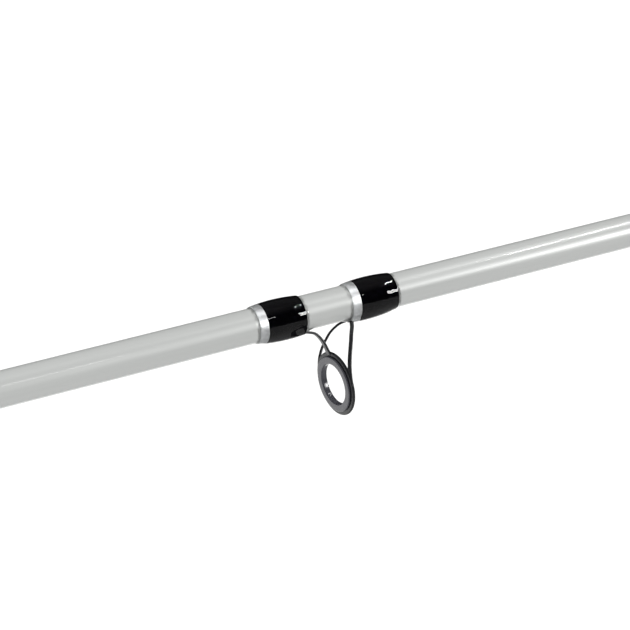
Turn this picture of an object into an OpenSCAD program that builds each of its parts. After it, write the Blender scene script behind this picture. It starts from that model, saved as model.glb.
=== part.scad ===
// Take-apart boat rod: handle with a screw-down reel seat, tapered tubular blank with a spigot joint,
// five double-foot line guides bound on with thread under a clear coat, and a tip ring.
// +X runs along the rod from the butt to the tip, +Z is up and the guides hang below the blank.
// The origin is the middle of the flat butt end.

/* [Rod] */
// Length from the butt end to the middle of the tip ring
rod_length = 1680; // [1500:10:1900]
// Outside diameter that the blank starts from at the butt
butt_d = 12.8; // [12:0.1:14]
// Outside diameter of the blank at the tip
tip_d = 5; // [4.6:0.1:6]
// How late the blank tapers: 1 is a straight taper, higher keeps the butt thick for longer
taper_power = 2.6; // [1.8:0.1:3.2]
// Wall of the tubular blank
blank_wall = 1.4; // [1:0.1:1.6]

/* [Spigot joint] */
// Bare spigot that shows between the two sections
joint_gap = 3; // [1:0.5:5]
// Length of spigot inside each section
spigot_grip = 55; // [40:5:70]
// Radial clearance of the spigot in the tip section
spigot_clearance = 0.05; // [0.03:0.01:0.1]
// Length of the thread binding at each side of the joint
joint_wrap_l = 22; // [14:1:30]

/* [Grips] */
// Diameter of the butt cap
cap_d = 33; // [31:0.5:38]
// Length of the butt cap
cap_l = 36; // [28:1:48]
// Wall of the butt cap round the grip
cap_wall = 2.2; // [1.6:0.1:3]
// Thickness of the butt cap's floor
cap_floor = 6; // [4:0.5:10]
// Where the rear grip ends and the reel seat begins
rear_grip_end = 270; // [200:5:330]
// Diameter of the rear grip at its waist
rear_waist_d = 25; // [23:0.5:28]
// Diameter of the rear grip where it meets the reel seat
rear_shoulder_d = 30; // [29:0.5:34]
// Length of the fore grip
fore_grip_l = 92; // [70:2:140]
// Diameter of the fore grip at its thickest
fore_grip_d = 30; // [29:0.5:34]
// Diameter of the fore grip's nose
fore_nose_d = 19; // [18:0.5:23]
// Length of the metal winding check in front of the fore grip
check_l = 6; // [4:0.5:10]

/* [Reel seat] */
// Length of the seat barrel
seat_l = 130; // [120:1:150]
// Outside diameter of the seat barrel
seat_d = 25.5; // [24:0.5:28]
// Bore of the seat barrel, filled up to the blank by the arbors
seat_bore_d = 17; // [16:0.2:19]
// Depth of the flat that the reel foot lands on
landing_depth = 1.6; // [1:0.1:2.4]
// Pitch of the seat thread
thread_pitch = 2; // [1.5:0.25:3]
// Depth of the seat thread
thread_depth = 0.8; // [0.5:0.1:1.2]
// Length of the seat thread
thread_l = 46; // [40:1:50]
// Length of each hood
hood_l = 22; // [18:1:26]
// Wall of the hoods
hood_wall = 1.5; // [1.2:0.1:2]
// Height of the hood's metal pocket over the landing
pocket_h = 7.4; // [6.8:0.1:8.4]
// Thickness of the cushion that lines each pocket
pad_t = 0.8; // [0.5:0.1:1.2]
// How far the moving hood travels to clamp a reel foot
hood_travel = 14; // [8:1:18]
// Length of the lock nut
nut_l = 16; // [12:1:20]
// Diameter of the lock nut
nut_d = 30; // [29:0.5:33]
// Radial clearance of the hood and the nut on the barrel
hood_clearance = 0.08; // [0.02:0.01:0.1]

/* [Hook keeper] */
// Wire diameter of the folding hook keeper
keeper_wire_d = 1.3; // [1:0.1:1.6]
// Inside width of the keeper loop
keeper_w = 6; // [5:0.5:8]
// Reach of the keeper loop from its pivot
keeper_reach = 8; // [6.5:0.5:11]
// Radial clearance of the keeper wire in its tube
keeper_clearance = 0.08; // [0.05:0.01:0.15]

/* [Guides] */
// Outside diameters of the guide rings, from the butt guide to the last guide
ring_sizes = [20, 16, 12, 10, 10];
// Outside diameter of the tip ring
tip_ring_size = 10; // [8:0.5:12]
// Places of the guides as shares of the free blank between the handle and the tip
guide_shares = [0.1314, 0.3644, 0.5636, 0.7331, 0.8771];
// Place of the spigot joint, as a share of the free blank
joint_share = 0.4322; // [0.41:0.005:0.46]
// Depth of the ring's middle below the blank, on a size 20 guide
ring_drop = 20.7; // [17:0.1:26]
// Lean of the guide rings towards the tip, in degrees
ring_lean = 2.5; // [0:0.5:10]
// Turns of the guide rings about the vertical, in degrees: the first guide stands a little askew
ring_turns = [6, 0, 0, 0, 0];
// Wall of the ceramic ring, from its bore to the outside of its flange, on a size 20 guide
ring_wall = 2.75; // [2:0.05:3.2]
// Rounding of the ring's bore at both of its faces, on a size 20 guide
ring_lip = 0.45; // [0.2:0.05:0.8]
// Step from the ring's flange in to the body pressed into the frame, on a size 20 guide
flange_step = 0.7; // [0.5:0.05:0.9]
// Thickness of the ring's flange in front of the frame, on a size 20 guide
flange_t = 0.75; // [0.6:0.05:1.4]
// How far the ring's body stands out behind the frame, on a size 20 guide
back_lip = 0.45; // [0.3:0.05:0.8]
// Thickness of the frame's sheet metal, on a size 20 guide
frame_t = 1.1; // [0.9:0.05:1.4]
// How far the frame's rim stands outside the ring's flange, on a size 20 guide
frame_rim = 1.45; // [0.8:0.05:1.7]
// Width of the frame's side legs, on a size 20 guide
leg_w = 1.4; // [1.2:0.1:2.2]
// Width of the frame's centre leg, on a size 20 guide
centre_leg_w = 2.2; // [1.6:0.1:3]
// Thickness of the frame's legs, on a size 20 guide
leg_t = 0.75; // [0.6:0.05:1.1]
// Distance from the ring's middle to the heel of each foot, on a size 20 guide
heel_reach = 8.4; // [8:0.2:12]
// Length of each foot, on a size 20 guide
foot_l = 16; // [13:0.5:20]
// Width of a foot at its heel, on a size 20 guide
foot_w = 3.4; // [3:0.1:4.4]
// Thickness of a foot at its heel, on a size 20 guide
foot_t = 0.9; // [0.8:0.05:1.2]

/* [Bindings] */
// Thickness of the bound thread
thread_t = 0.35; // [0.25:0.05:0.45]
// Length of the black binding over each foot, on a size 20 guide
black_l = 14.4; // [12:0.2:18]
// Length of the silver trim binding at the butt side of each black one, on a size 20 guide
trim_l = 3.2; // [2:0.1:5]
// How far the clear coat runs past the thread
coat_run = 0.8; // [0.6:0.1:2]
// Thickness of the clear coat over the thread at its crown
coat_t = 0.75; // [0.4:0.05:1]

/* [Hidden] */
$fn = 64;

// Glue line between pieces that are bonded together
glue = 0.02;
// A cut runs this far past the face that it opens
over = 1;
// The guide that the size 20 dimensions belong to
base_size = 20;

seat_x = rear_grip_end;
seat_end = seat_x + seat_l;
fore_grip_end = seat_end + fore_grip_l;
handle_end = fore_grip_end + check_l;
free_blank = rod_length - handle_end;
joint_x = handle_end + joint_share * free_blank;
tip_start = joint_x + joint_gap;

function blank_r(x) = (butt_d - (butt_d - tip_d) * pow(x / rod_length, taper_power)) / 2;
function stations(a, b, n) = [for (i = [0 : n]) a + (b - a) * i / n];
function unit(v) = v / norm(v);
function mix(a, b, s) = a + (b - a) * s;

// ---------- shared shapes ----------

// A profile of [radius, x] points turned about the rod's axis
module turned(profile) {
    rotate([0, 90, 0]) rotate_extrude() polygon(profile);
}

// The blank's outside between two places, grown by a margin: what every piece on the blank is cut with
module blank_envelope(a, b, grow = glue) {
    turned(concat(
        [[0, a]],
        [for (x = stations(a, b, 6)) [blank_r(x) + grow, x]],
        [[0, b]]
    ));
}

// A sleeve on the blank with a profile of [height over the blank, x] points, from low x to high x
module sleeve(outline) {
    first = outline[0][1];
    last = outline[len(outline) - 1][1];
    turned(concat(
        [for (p = outline) [blank_r(p[1]) + glue + p[0], p[1]]],
        [[blank_r(last) + glue, last], [blank_r(first) + glue, first]]
    ));
}

// Height of a clear coat at a share from 0 to 1 along it: round at both ends and crowned between
function crown(s) = pow(sin(180 * s), 0.6);

// Catmull-Rom point between points i and i + 1 of a path
function curve_point(p, i, t) =
    let (a = p[max(i - 1, 0)], b = p[i], c = p[i + 1], d = p[min(i + 2, len(p) - 1)])
    0.5 * (2 * b + (c - a) * t + (2 * a - 5 * b + 4 * c - d) * t * t + (3 * b - a - 3 * c + d) * t * t * t);
function curve(p, n) = concat(
    [for (i = [0 : len(p) - 2]) for (j = [0 : n - 1]) curve_point(p, i, j / n)],
    [p[len(p) - 1]]
);
// A band of even width along a 2-D path
function ribbon(path, w) =
    let (
        last = len(path) - 1,
        sides = [
            for (i = [0 : last])
            let (d = unit(path[min(i + 1, last)] - path[max(i - 1, 0)]))
            [-d[1], d[0]] * w / 2
        ]
    )
    concat([for (i = [0 : last]) path[i] + sides[i]], [for (i = [last : -1 : 0]) path[i] - sides[i]]);

// A sheet-metal leg along a path: bent across the rod, as thick as t and w wide seen along the rod.
// The path lies on the +Y side, or in the middle plane; side -1 gives the mirror image.
module bent_leg(path, w, t, side = 1) {
    reach = max([for (p = path) p[1]]) + w;
    x_low = min([for (p = path) p[0]]) - t;
    x_high = max([for (p = path) p[0]]) + t;
    mirror([0, side < 0 ? 1 : 0, 0])
    intersection() {
        translate([0, reach, 0]) rotate([90, 0, 0]) linear_extrude(reach + w)
            polygon(ribbon([for (p = path) [p[0], p[2]]], t));
        translate([x_low, 0, 0]) rotate([90, 0, 90]) linear_extrude(x_high - x_low)
            polygon(ribbon([for (p = path) [p[1], p[2]]], w));
    }
}

// A leg in the rod's middle plane
module middle_leg(path, w, t) {
    translate([0, w / 2, 0]) rotate([90, 0, 0]) linear_extrude(w)
        polygon(ribbon([for (p = path) [p[0], p[2]]], t));
}

// ---------- handle ----------

rear_grip_x = cap_floor;
cap_socket_r = cap_d / 2 - cap_wall;

module butt_cap() {
    edge = 4;
    color("#1c1c1e")
    difference() {
        turned(concat(
            [[0, 0], [cap_d / 2 - edge, 0]],
            [for (a = [0 : 15 : 90]) [cap_d / 2 - edge + edge * sin(a), edge - edge * cos(a)]],
            [[cap_d / 2, cap_l - 1], [cap_d / 2 - 0.8, cap_l], [0, cap_l]]
        ));
        turned([[0, cap_floor], [cap_socket_r, cap_floor], [cap_socket_r, cap_l + over], [0, cap_l + over]]);
    }
}

// Half the thickness of the rear grip at a share from 0 to 1 along the part that shows
function rear_r(s) =
    s < 0.62
        ? mix(cap_d / 2 - 0.9, rear_waist_d / 2, (1 - cos(180 * s / 0.62)) / 2)
        : mix(rear_waist_d / 2, rear_shoulder_d / 2, (1 - cos(180 * (s - 0.62) / 0.38)) / 2);

collar_l = 4;

module rear_grip() {
    end = rear_grip_end - collar_l;
    color("#232325")
    difference() {
        turned(concat(
            [[0, rear_grip_x + glue], [cap_socket_r - glue, rear_grip_x + glue], [cap_socket_r - glue, cap_l],
             [cap_d / 2 - 0.9, cap_l]],
            [for (s = stations(0.04, 0.985, 22)) [rear_r(s), mix(cap_l, end, s)]],
            [[rear_shoulder_d / 2 - 0.7, end], [0, end]]
        ));
        blank_envelope(rear_grip_x - over, end + over);
    }
}

module rear_collar() {
    start = rear_grip_end - collar_l;
    r = rear_shoulder_d / 2 - 0.7;
    color("#c9ccd0")
    difference() {
        turned([[0, start + glue], [r - 0.5, start + glue], [r, start + 0.5], [r, rear_grip_end - 0.5],
                [r - 0.5, rear_grip_end], [0, rear_grip_end]]);
        blank_envelope(start - over, rear_grip_end + over);
    }
}

seat_r = seat_d / 2;
landing_z = landing_depth - seat_r;
thread_x = seat_end - thread_l - 2;
keyway_w = 3;
keyway_depth = 1;

module seat_barrel() {
    turns = floor(thread_l / thread_pitch);
    flat_l = thread_x - seat_x;
    color("#18181a")
    difference() {
        turned(concat(
            [[0, seat_x], [seat_r, seat_x], [seat_r, thread_x]],
            [for (i = [0 : turns - 1]) for (p = [[-thread_depth, 0.2], [-thread_depth, 0.5], [0, 0.7], [0, 1]])
                [seat_r + p[0], thread_x + (i + p[1]) * thread_pitch]],
            [[seat_r, seat_end], [0, seat_end]]
        ));
        turned([[0, seat_x - over], [seat_bore_d / 2, seat_x - over], [seat_bore_d / 2, seat_end + over],
                [0, seat_end + over]]);
        // Flat landing for the reel foot
        translate([seat_x - over, -seat_r, landing_z - seat_d]) cube([flat_l + over, seat_d, seat_d]);
        // Keyway that stops the moving hood from turning
        translate([seat_x + hood_l + 8, -keyway_w / 2, seat_r - keyway_depth])
            cube([seat_l, keyway_w, seat_d]);
    }
}

module seat_arbors() {
    arbor_l = 24;
    inset = 4;
    color("#b9b39e")
    for (start = [seat_x + inset, seat_x + (seat_l - arbor_l) / 2, seat_end - inset - arbor_l])
        difference() {
            turned([[0, start], [seat_bore_d / 2 - glue, start], [seat_bore_d / 2 - glue, start + arbor_l],
                    [0, start + arbor_l]]);
            blank_envelope(start - over, start + arbor_l + over);
        }
}

// The hoods' pocket is a tapered tunnel under the landing, widest at its mouth
pocket_axis_z = landing_z + 2.2;
pocket_mouth_r = pocket_h + 2.2;
pocket_back_r = pocket_mouth_r - 2.4;
hood_r = seat_r + hood_wall;
hood_end_wall = 2;

// A hood with its closed end at x = 0 and its mouth at x = hood_l
module hood_shell(bore_r) {
    difference() {
        union() {
            turned([[0, 0], [hood_r - 0.6, 0], [hood_r, 0.6], [hood_r, hood_l - 0.4], [hood_r - 0.4, hood_l],
                    [0, hood_l]]);
            translate([0, 0, pocket_axis_z]) rotate([0, 90, 0])
                cylinder(h = hood_l, r1 = pocket_back_r + hood_wall, r2 = pocket_mouth_r + hood_wall);
        }
        turned([[0, -over], [bore_r, -over], [bore_r, hood_l + over], [0, hood_l + over]]);
        pocket_space(0, hood_end_wall);
    }
}

// The pocket's hollow, drawn in by an inset, from a start to past the mouth
module pocket_space(inset, start) {
    slope = (pocket_mouth_r - pocket_back_r) / hood_l;
    reach = hood_l + over - start;
    translate([start, 0, pocket_axis_z]) rotate([0, 90, 0])
        cylinder(
            h = reach,
            r1 = pocket_back_r + slope * start - inset,
            r2 = pocket_back_r + slope * (hood_l + over) - inset
        );
}

// The cushion that lines a pocket
module hood_cushion() {
    intersection() {
        difference() {
            pocket_space(glue, hood_end_wall + glue);
            pocket_space(pad_t, hood_end_wall + 1.2);
            turned([[0, -over], [seat_r + 0.6, -over], [seat_r + 0.6, hood_l + over], [0, hood_l + over]]);
        }
        translate([0, -seat_d, landing_z - seat_d]) cube([hood_l - 0.4, 2 * seat_d, seat_d]);
    }
}

moving_hood_x = thread_x + 2 + hood_travel;

module fixed_hood() {
    color("#b4b7bb") translate([seat_x, 0, 0]) hood_shell(seat_r + glue);
}

module fixed_hood_pad() {
    color("#111113") translate([seat_x, 0, 0]) hood_cushion();
}

module moving_hood() {
    key_depth = keyway_depth - 0.2;
    color("#b4b7bb")
    translate([moving_hood_x, 0, 0]) mirror([1, 0, 0]) union() {
        hood_shell(seat_r + hood_clearance);
        translate([0, 0.15 - keyway_w / 2, seat_r - key_depth])
            cube([hood_l - 2, keyway_w - 0.3, key_depth + hood_clearance + 0.4]);
    }
}

module moving_hood_pad() {
    color("#111113") translate([moving_hood_x, 0, 0]) mirror([1, 0, 0]) hood_cushion();
}

nut_x = moving_hood_x + 0.3;

module lock_nut() {
    flutes = 20;
    flute_r = 1.6;
    lip = 2.4;
    color("#1f1f22")
    difference() {
        turned([[0, nut_x], [nut_d / 2 - 0.8, nut_x], [nut_d / 2, nut_x + 0.8],
                [nut_d / 2, nut_x + nut_l - 2], [nut_d / 2 - 2, nut_x + nut_l], [0, nut_x + nut_l]]);
        turned([[0, nut_x - over], [seat_r + hood_clearance, nut_x - over],
                [seat_r + hood_clearance, nut_x + nut_l + over], [0, nut_x + nut_l + over]]);
        for (i = [0 : flutes - 1]) rotate([360 * i / flutes, 0, 0])
            translate([nut_x + lip, 0, nut_d / 2 + flute_r - 0.7]) rotate([0, 90, 0])
                cylinder(h = nut_l, r = flute_r, $fn = 24);
    }
}

module fore_grip() {
    waist = 0.9;
    color("#232325")
    difference() {
        turned(concat(
            [[0, seat_end + glue], [fore_grip_d / 2 - 1.2, seat_end + glue], [fore_grip_d / 2, seat_end + 1.5]],
            [for (s = stations(0.08, 0.97, 20))
                [mix(fore_grip_d / 2, fore_nose_d / 2, pow(s, 1.7)) - waist * sin(180 * s),
                 mix(seat_end, fore_grip_end, s)]],
            [[fore_nose_d / 2 - 0.8, fore_grip_end], [0, fore_grip_end]]
        ));
        blank_envelope(seat_end - over, fore_grip_end + over);
    }
}

module winding_check() {
    nose_r = blank_r(handle_end) + 0.9;
    base_r = fore_nose_d / 2 - 0.9;
    x = fore_grip_end;
    color("#c9ccd0")
    difference() {
        turned([[0, x + glue], [base_r, x + glue], [base_r, x + 1.6], [base_r - 0.7, x + 2],
                [mix(base_r, nose_r, 0.62), mix(x, handle_end, 0.68)], [nose_r, handle_end - 0.3],
                [nose_r - 0.3, handle_end], [0, handle_end]]);
        blank_envelope(x - over, handle_end + over);
    }
}

// ---------- bindings ----------

// A solid round the blank whose axis dips below the blank's from the toe towards the heel of a foot, by
// dip for each mm, so that it also goes round the foot. The outline is [height over the blank, x] points.
module dipped_solid(outline, toe, dip) {
    first = outline[0][1];
    last = outline[len(outline) - 1][1];
    heel_side = toe < (first + last) / 2 ? 1 : -1;
    translate([toe, 0, 0]) rotate([0, heel_side * atan(dip), 0]) translate([-toe, 0, 0])
        turned(concat(
            [[0, first]],
            [for (p = outline) [blank_r(p[1]) + glue + p[0] + dip * abs(p[1] - toe), p[1]]],
            [[0, last]]
        ));
}

// Thread bound over the blank and a foot from a to b; what it is called with is cut away
module bound_layer(a, b, toe, dip) {
    difference() {
        dipped_solid([[thread_t, a], [thread_t, b]], toe, dip);
        blank_envelope(a - 3, b + 3);
        children();
    }
}

// Clear coat over the thread from a to b, running out past both ends; what it is called with is cut away
module clear_coat(a, b, run, toe, dip, height) {
    difference() {
        dipped_solid(
            [for (s = stations(0, 1, 10))
                [0.08 + height * crown(mix(0.02, 0.98, s)), mix(a - run, b + run, s)]],
            toe, dip
        );
        dipped_solid([[thread_t + glue, a - glue], [thread_t + glue, b + glue]], toe, dip);
        blank_envelope(a - 5, b + 5);
        children();
    }
}

// ---------- hook keeper ----------

keeper_x = handle_end + 11;
keeper_r = keeper_wire_d / 2;
keeper_tube_r = keeper_r + keeper_clearance + 0.55;
keeper_z = -(blank_r(keeper_x) + keeper_tube_r + 0.25);
keeper_foot_l = 7.5;
keeper_foot_t = 0.7;
keeper_foot_w = 2.6;
keeper_tube_l = keeper_w - 1.2;

// The plate that both ends of the keeper are bound down by, still solid to the rod's axis
module keeper_plate() {
    toe = keeper_tube_r + keeper_foot_l;
    crest = keeper_tube_r + 1;
    r = blank_r(keeper_x);
    translate([keeper_x, keeper_foot_w / 2, 0]) rotate([90, 0, 0]) linear_extrude(keeper_foot_w)
        polygon([[-toe, 0], [-toe, -r - 0.25], [-crest, -r - keeper_foot_t], [crest, -r - keeper_foot_t],
                 [toe, -r - 0.25], [toe, 0]]);
}

module keeper_base() {
    color("#2b2c30")
    difference() {
        union() {
            keeper_plate();
            translate([keeper_x, keeper_tube_l / 2, keeper_z]) rotate([90, 0, 0])
                cylinder(h = keeper_tube_l, r = keeper_tube_r);
        }
        blank_envelope(keeper_x - 20, keeper_x + 20);
        translate([keeper_x, keeper_w, keeper_z]) rotate([90, 0, 0])
            cylinder(h = 2 * keeper_w, r = keeper_r + keeper_clearance);
    }
}

// D-shaped wire loop that hangs free: a straight pin through the base's tube and a rounded bow
module keeper_loop() {
    half = keeper_w / 2 + keeper_r;
    bow_x = keeper_reach - half;
    bow_r = 0.94 * keeper_r;
    color("#2b2c30")
    translate([keeper_x, 0, keeper_z]) rotate([0, 90, 0]) {
        translate([0, half + keeper_r, 0]) rotate([90, 0, 0])
            cylinder(h = 2 * (half + keeper_r), r = keeper_r, $fn = 32);
        for (side = [-1, 1])
            translate([0, side * half, 0]) rotate([0, 90, 0]) cylinder(h = bow_x, r = bow_r, $fn = 32);
        translate([bow_x, 0, 0]) rotate([0, 0, -90]) rotate_extrude(angle = 180)
            translate([half, 0]) circle(r = bow_r, $fn = 32);
    }
}

keeper_wrap_start = keeper_tube_r + 0.8;
keeper_wrap_l = keeper_foot_l + 0.6;

// Outline of a binding on the keeper's feet, as the span of one side
function keeper_span(side) =
    let (a = keeper_x + side * keeper_wrap_start, b = keeper_x + side * (keeper_wrap_start + keeper_wrap_l))
    [min(a, b), max(a, b)];

// The thread's axis dips from here to go over the keeper's plate
keeper_dip = 0.55 * keeper_foot_t / keeper_wrap_l;
function keeper_toe(side) = keeper_x + side * (keeper_wrap_start + keeper_wrap_l);

module keeper_binding() {
    color("#0d0d10")
    for (side = [-1, 1])
        let (span = keeper_span(side))
        bound_layer(span[0], span[1], keeper_toe(side), keeper_dip) keeper_plate();
}

module keeper_coat() {
    color("#dfe3e6")
    for (side = [-1, 1])
        let (span = keeper_span(side))
        clear_coat(span[0], span[1], coat_run / 2, keeper_toe(side), keeper_dip, thread_t + 0.6 * coat_t)
            keeper_plate();
}

// ---------- blank and spigot ----------

blank_x = cap_floor + 2;
tip_tube_l = 15;
tip_neck = 6;
blank_tip = rod_length - tip_ring_size / 2 - tip_neck;
spigot_r = blank_r(joint_x) - blank_wall - glue;

module butt_blank() {
    color("#d9dbda")
    turned(concat(
        [for (x = stations(blank_x, joint_x, 24)) [blank_r(x), x]],
        [for (x = stations(joint_x, blank_x, 24)) [blank_r(x) - blank_wall, x]]
    ));
}

module spigot() {
    start = joint_x - spigot_grip;
    end = tip_start + spigot_grip;
    color("#2f3032")
    turned([[0, start], [spigot_r - 0.6, start], [spigot_r, start + 0.6], [spigot_r, end - 1.5],
            [spigot_r - 1.2, end], [0, end]]);
}

module tip_blank() {
    socket_r = spigot_r + spigot_clearance;
    socket_end = tip_start + spigot_grip + 2;
    color("#d9dbda")
    turned(concat(
        [for (x = stations(tip_start, blank_tip, 24)) [blank_r(x), x]],
        [for (x = stations(blank_tip, socket_end, 16)) [min(blank_r(x) - blank_wall, socket_r), x]],
        [[socket_r, socket_end - 1], [socket_r, tip_start]]
    ));
}

// Bindings that stop the ends of the blank from splitting at the joint
function joint_span(side) = side < 0
    ? [joint_x - joint_wrap_l - coat_run - 0.3, joint_x - coat_run - 0.3]
    : [tip_start + coat_run + 0.3, tip_start + coat_run + 0.3 + joint_wrap_l];

module joint_binding(side) {
    span = joint_span(side);
    color("#0d0d10") sleeve([[thread_t, span[0]], [thread_t, span[1]]]);
}

module joint_coat(side) {
    span = joint_span(side);
    color("#dfe3e6") clear_coat(span[0], span[1], coat_run, span[0], 0, thread_t + coat_t);
}

// ---------- guides ----------

guides = len(ring_sizes);
function guide_x(i) = handle_end + guide_shares[i] * free_blank;
function guide_scale(i) = ring_sizes[i] / base_size;

// Turns and places what follows at a ring's middle, its axis along +X
module at_ring(x, z, lean, turn = 0) {
    translate([x, 0, z]) rotate([0, 0, turn]) rotate([0, -lean, 0]) children();
}

// A ceramic ring for a given outside diameter: a rounded bore, a flange towards the butt and a pressed body
module ceramic_ring(size) {
    k = size / base_size;
    bore_r = size / 2 - ring_wall * k;
    flange_r = size / 2;
    body_r = flange_r - flange_step * k;
    front = -(frame_t / 2 + flange_t) * k;
    back = (frame_t / 2 + back_lip) * k;
    lip = ring_lip * k;
    face_r = (bore_r + lip + flange_r) / 2;
    color("#55565c")
    turned(concat(
        [for (a = [0 : 15 : 90]) [bore_r + lip - lip * cos(a), front + lip - lip * sin(a)]],
        [[face_r, front], [flange_r - 0.35 * k, front + 0.12 * k], [flange_r, front + 0.4 * k],
         [flange_r, -frame_t / 2 * k - glue], [body_r - glue, -frame_t / 2 * k - glue],
         [body_r - glue, back - 0.2 * k], [body_r - 0.3 * k, back]],
        [for (a = [90 : -15 : 0]) [bore_r + lip - lip * cos(a), back - lip + lip * sin(a)]]
    ));
}

// The frame's sheet-metal rim that a ceramic ring is pressed into
module frame_rim_plate(size) {
    k = size / base_size;
    outer = size / 2 + frame_rim * k;
    inner = size / 2 - flange_step * k;
    half = frame_t / 2 * k;
    ease = 0.25 * k;
    turned([[inner, -half], [outer - ease, -half], [outer, ease - half], [outer, half - ease],
            [outer - ease, half], [inner, half]]);
}

// One foot of guide i, still solid to the rod's axis; side is -1 towards the butt and 1 towards the tip
module guide_foot(i, side) {
    k = guide_scale(i);
    x = guide_x(i);
    heel = x + side * heel_reach * k;
    toe = x + side * (heel_reach + foot_l) * k;
    r = blank_r(x);
    w = foot_w * k;
    intersection() {
        translate([0, w, 0]) rotate([90, 0, 0]) linear_extrude(2 * w)
            polygon([[heel, 0], [heel, -r - foot_t * k], [toe, -r - 0.25 * k], [toe, 0]]);
        translate([0, 0, -2 * r]) linear_extrude(2 * r)
            polygon([[heel, -w / 2], [mix(heel, toe, 0.7), -0.42 * w], [mix(heel, toe, 0.94), -0.3 * w],
                     [toe, -0.14 * w], [toe, 0.14 * w], [mix(heel, toe, 0.94), 0.3 * w],
                     [mix(heel, toe, 0.7), 0.42 * w], [heel, w / 2]]);
    }
}

// Centre lines of the legs on a size 20 guide with this ring drop, from foot to rim: x from the ring's
// middle, y across, z from the blank's surface
drawn_drop = 21;
centre_leg = [[-9.2, 0, -0.45], [-7.8, 0, -0.7], [-6.5, 0, -1.1], [-4.6, 0, -1.9], [-3.1, 0, -3.7],
              [-1.9, 0, -6.1], [-1, 0, -9], [-0.5, 0, -10.8]];
side_leg = [[9, 1, -0.45], [8.2, 2.9, -0.95], [7, 4.9, -1.9], [5.2, 6.9, -3.9], [4, 8.1, -5.9], [2.4, 9.4, -8.9],
            [1.2, 10.1, -11.9], [0.5, 10.4, -14.5], [0.1, 10.6, -17.5], [0, 10.6, -20.5]];

// A leg's path for guide i, with the ring drop that is set; the side legs lean with the ring's turn
function leg_path(leg, i, side = 1) =
    let (k = guide_scale(i), stretch = ring_drop / drawn_drop, askew = side * tan(ring_turns[i]))
    curve([for (p = leg) [guide_x(i) + (p[0] - askew * p[1]) * k, p[1] * k,
                          p[2] * stretch * k - blank_r(guide_x(i))]], 3);

module guide_legs(i) {
    k = guide_scale(i);
    middle_leg(leg_path(centre_leg, i), centre_leg_w * k, leg_t * k);
    for (side = [-1, 1]) bent_leg(leg_path(side_leg, i, side), leg_w * k, leg_t * k, side);
}

// The middle of guide i's ring
function ring_z(i) = -blank_r(guide_x(i)) - ring_drop * guide_scale(i);

module guide_frame(i) {
    k = guide_scale(i);
    socket_r = ring_sizes[i] / 2 - flange_step * k;
    color("#2b2c30") {
        at_ring(guide_x(i), ring_z(i), ring_lean, ring_turns[i]) frame_rim_plate(ring_sizes[i]);
        difference() {
            union() {
                guide_legs(i);
                for (side = [-1, 1]) guide_foot(i, side);
            }
            blank_envelope(guide_x(i) - 60 * k, guide_x(i) + 60 * k);
            at_ring(guide_x(i), ring_z(i), ring_lean, ring_turns[i])
                turned([[0, -5 * k], [socket_r + 0.3 * k, -5 * k], [socket_r + 0.3 * k, 5 * k], [0, 5 * k]]);
            // The ring's flange sits in front of the rim
            at_ring(guide_x(i), ring_z(i), ring_lean, ring_turns[i])
                turned([[0, -5 * k], [ring_sizes[i] / 2 + glue, -5 * k],
                        [ring_sizes[i] / 2 + glue, -frame_t / 2 * k], [0, -frame_t / 2 * k]]);
        }
    }
}

module guide_ring(i) {
    at_ring(guide_x(i), ring_z(i), ring_lean, ring_turns[i]) ceramic_ring(ring_sizes[i]);
}

// Where the bindings of guide i begin and end: [trim start, trim end and black start, black end].
// The trim is at the butt side of both black bindings.
binding_heel = 0.5;
function binding_span(i, side) =
    let (
        k = guide_scale(i),
        start = side < 0
            ? guide_x(i) - (heel_reach + binding_heel + black_l + trim_l) * k
            : guide_x(i) + (heel_reach + binding_heel) * k
    )
    [start, start + trim_l * k, start + (trim_l + black_l) * k];

// The bindings' axis dips from the outer end of the binding to the heel, to go over the foot
function guide_dip() = (0.6 * foot_t + 0.05) / (black_l + trim_l);
function binding_toe(i, side) = binding_span(i, side)[side < 0 ? 0 : 2];

// What the thread and the coat leave room for: the feet and the legs
module guide_metal(i) {
    for (side = [-1, 1]) guide_foot(i, side);
    guide_legs(i);
}

module guide_thread(i) {
    color("#0d0d10")
    for (side = [-1, 1])
        let (span = binding_span(i, side))
        bound_layer(span[1] + glue, span[2], binding_toe(i, side), guide_dip()) guide_metal(i);
}

module guide_trim(i) {
    color("#c4c6c8")
    for (side = [-1, 1])
        let (span = binding_span(i, side))
        bound_layer(span[0], span[1] - glue, binding_toe(i, side), guide_dip()) guide_metal(i);
}

module guide_coat(i) {
    color("#dfe3e6")
    for (side = [-1, 1])
        let (span = binding_span(i, side))
        clear_coat(span[0], span[2], coat_run, binding_toe(i, side), guide_dip(), thread_t + coat_t)
            guide_metal(i);
}

// ---------- tip top ----------

tip_k = tip_ring_size / base_size;
tip_tube_r = blank_r(blank_tip) + 0.55;
tip_tube_x = blank_tip - tip_tube_l;

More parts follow.
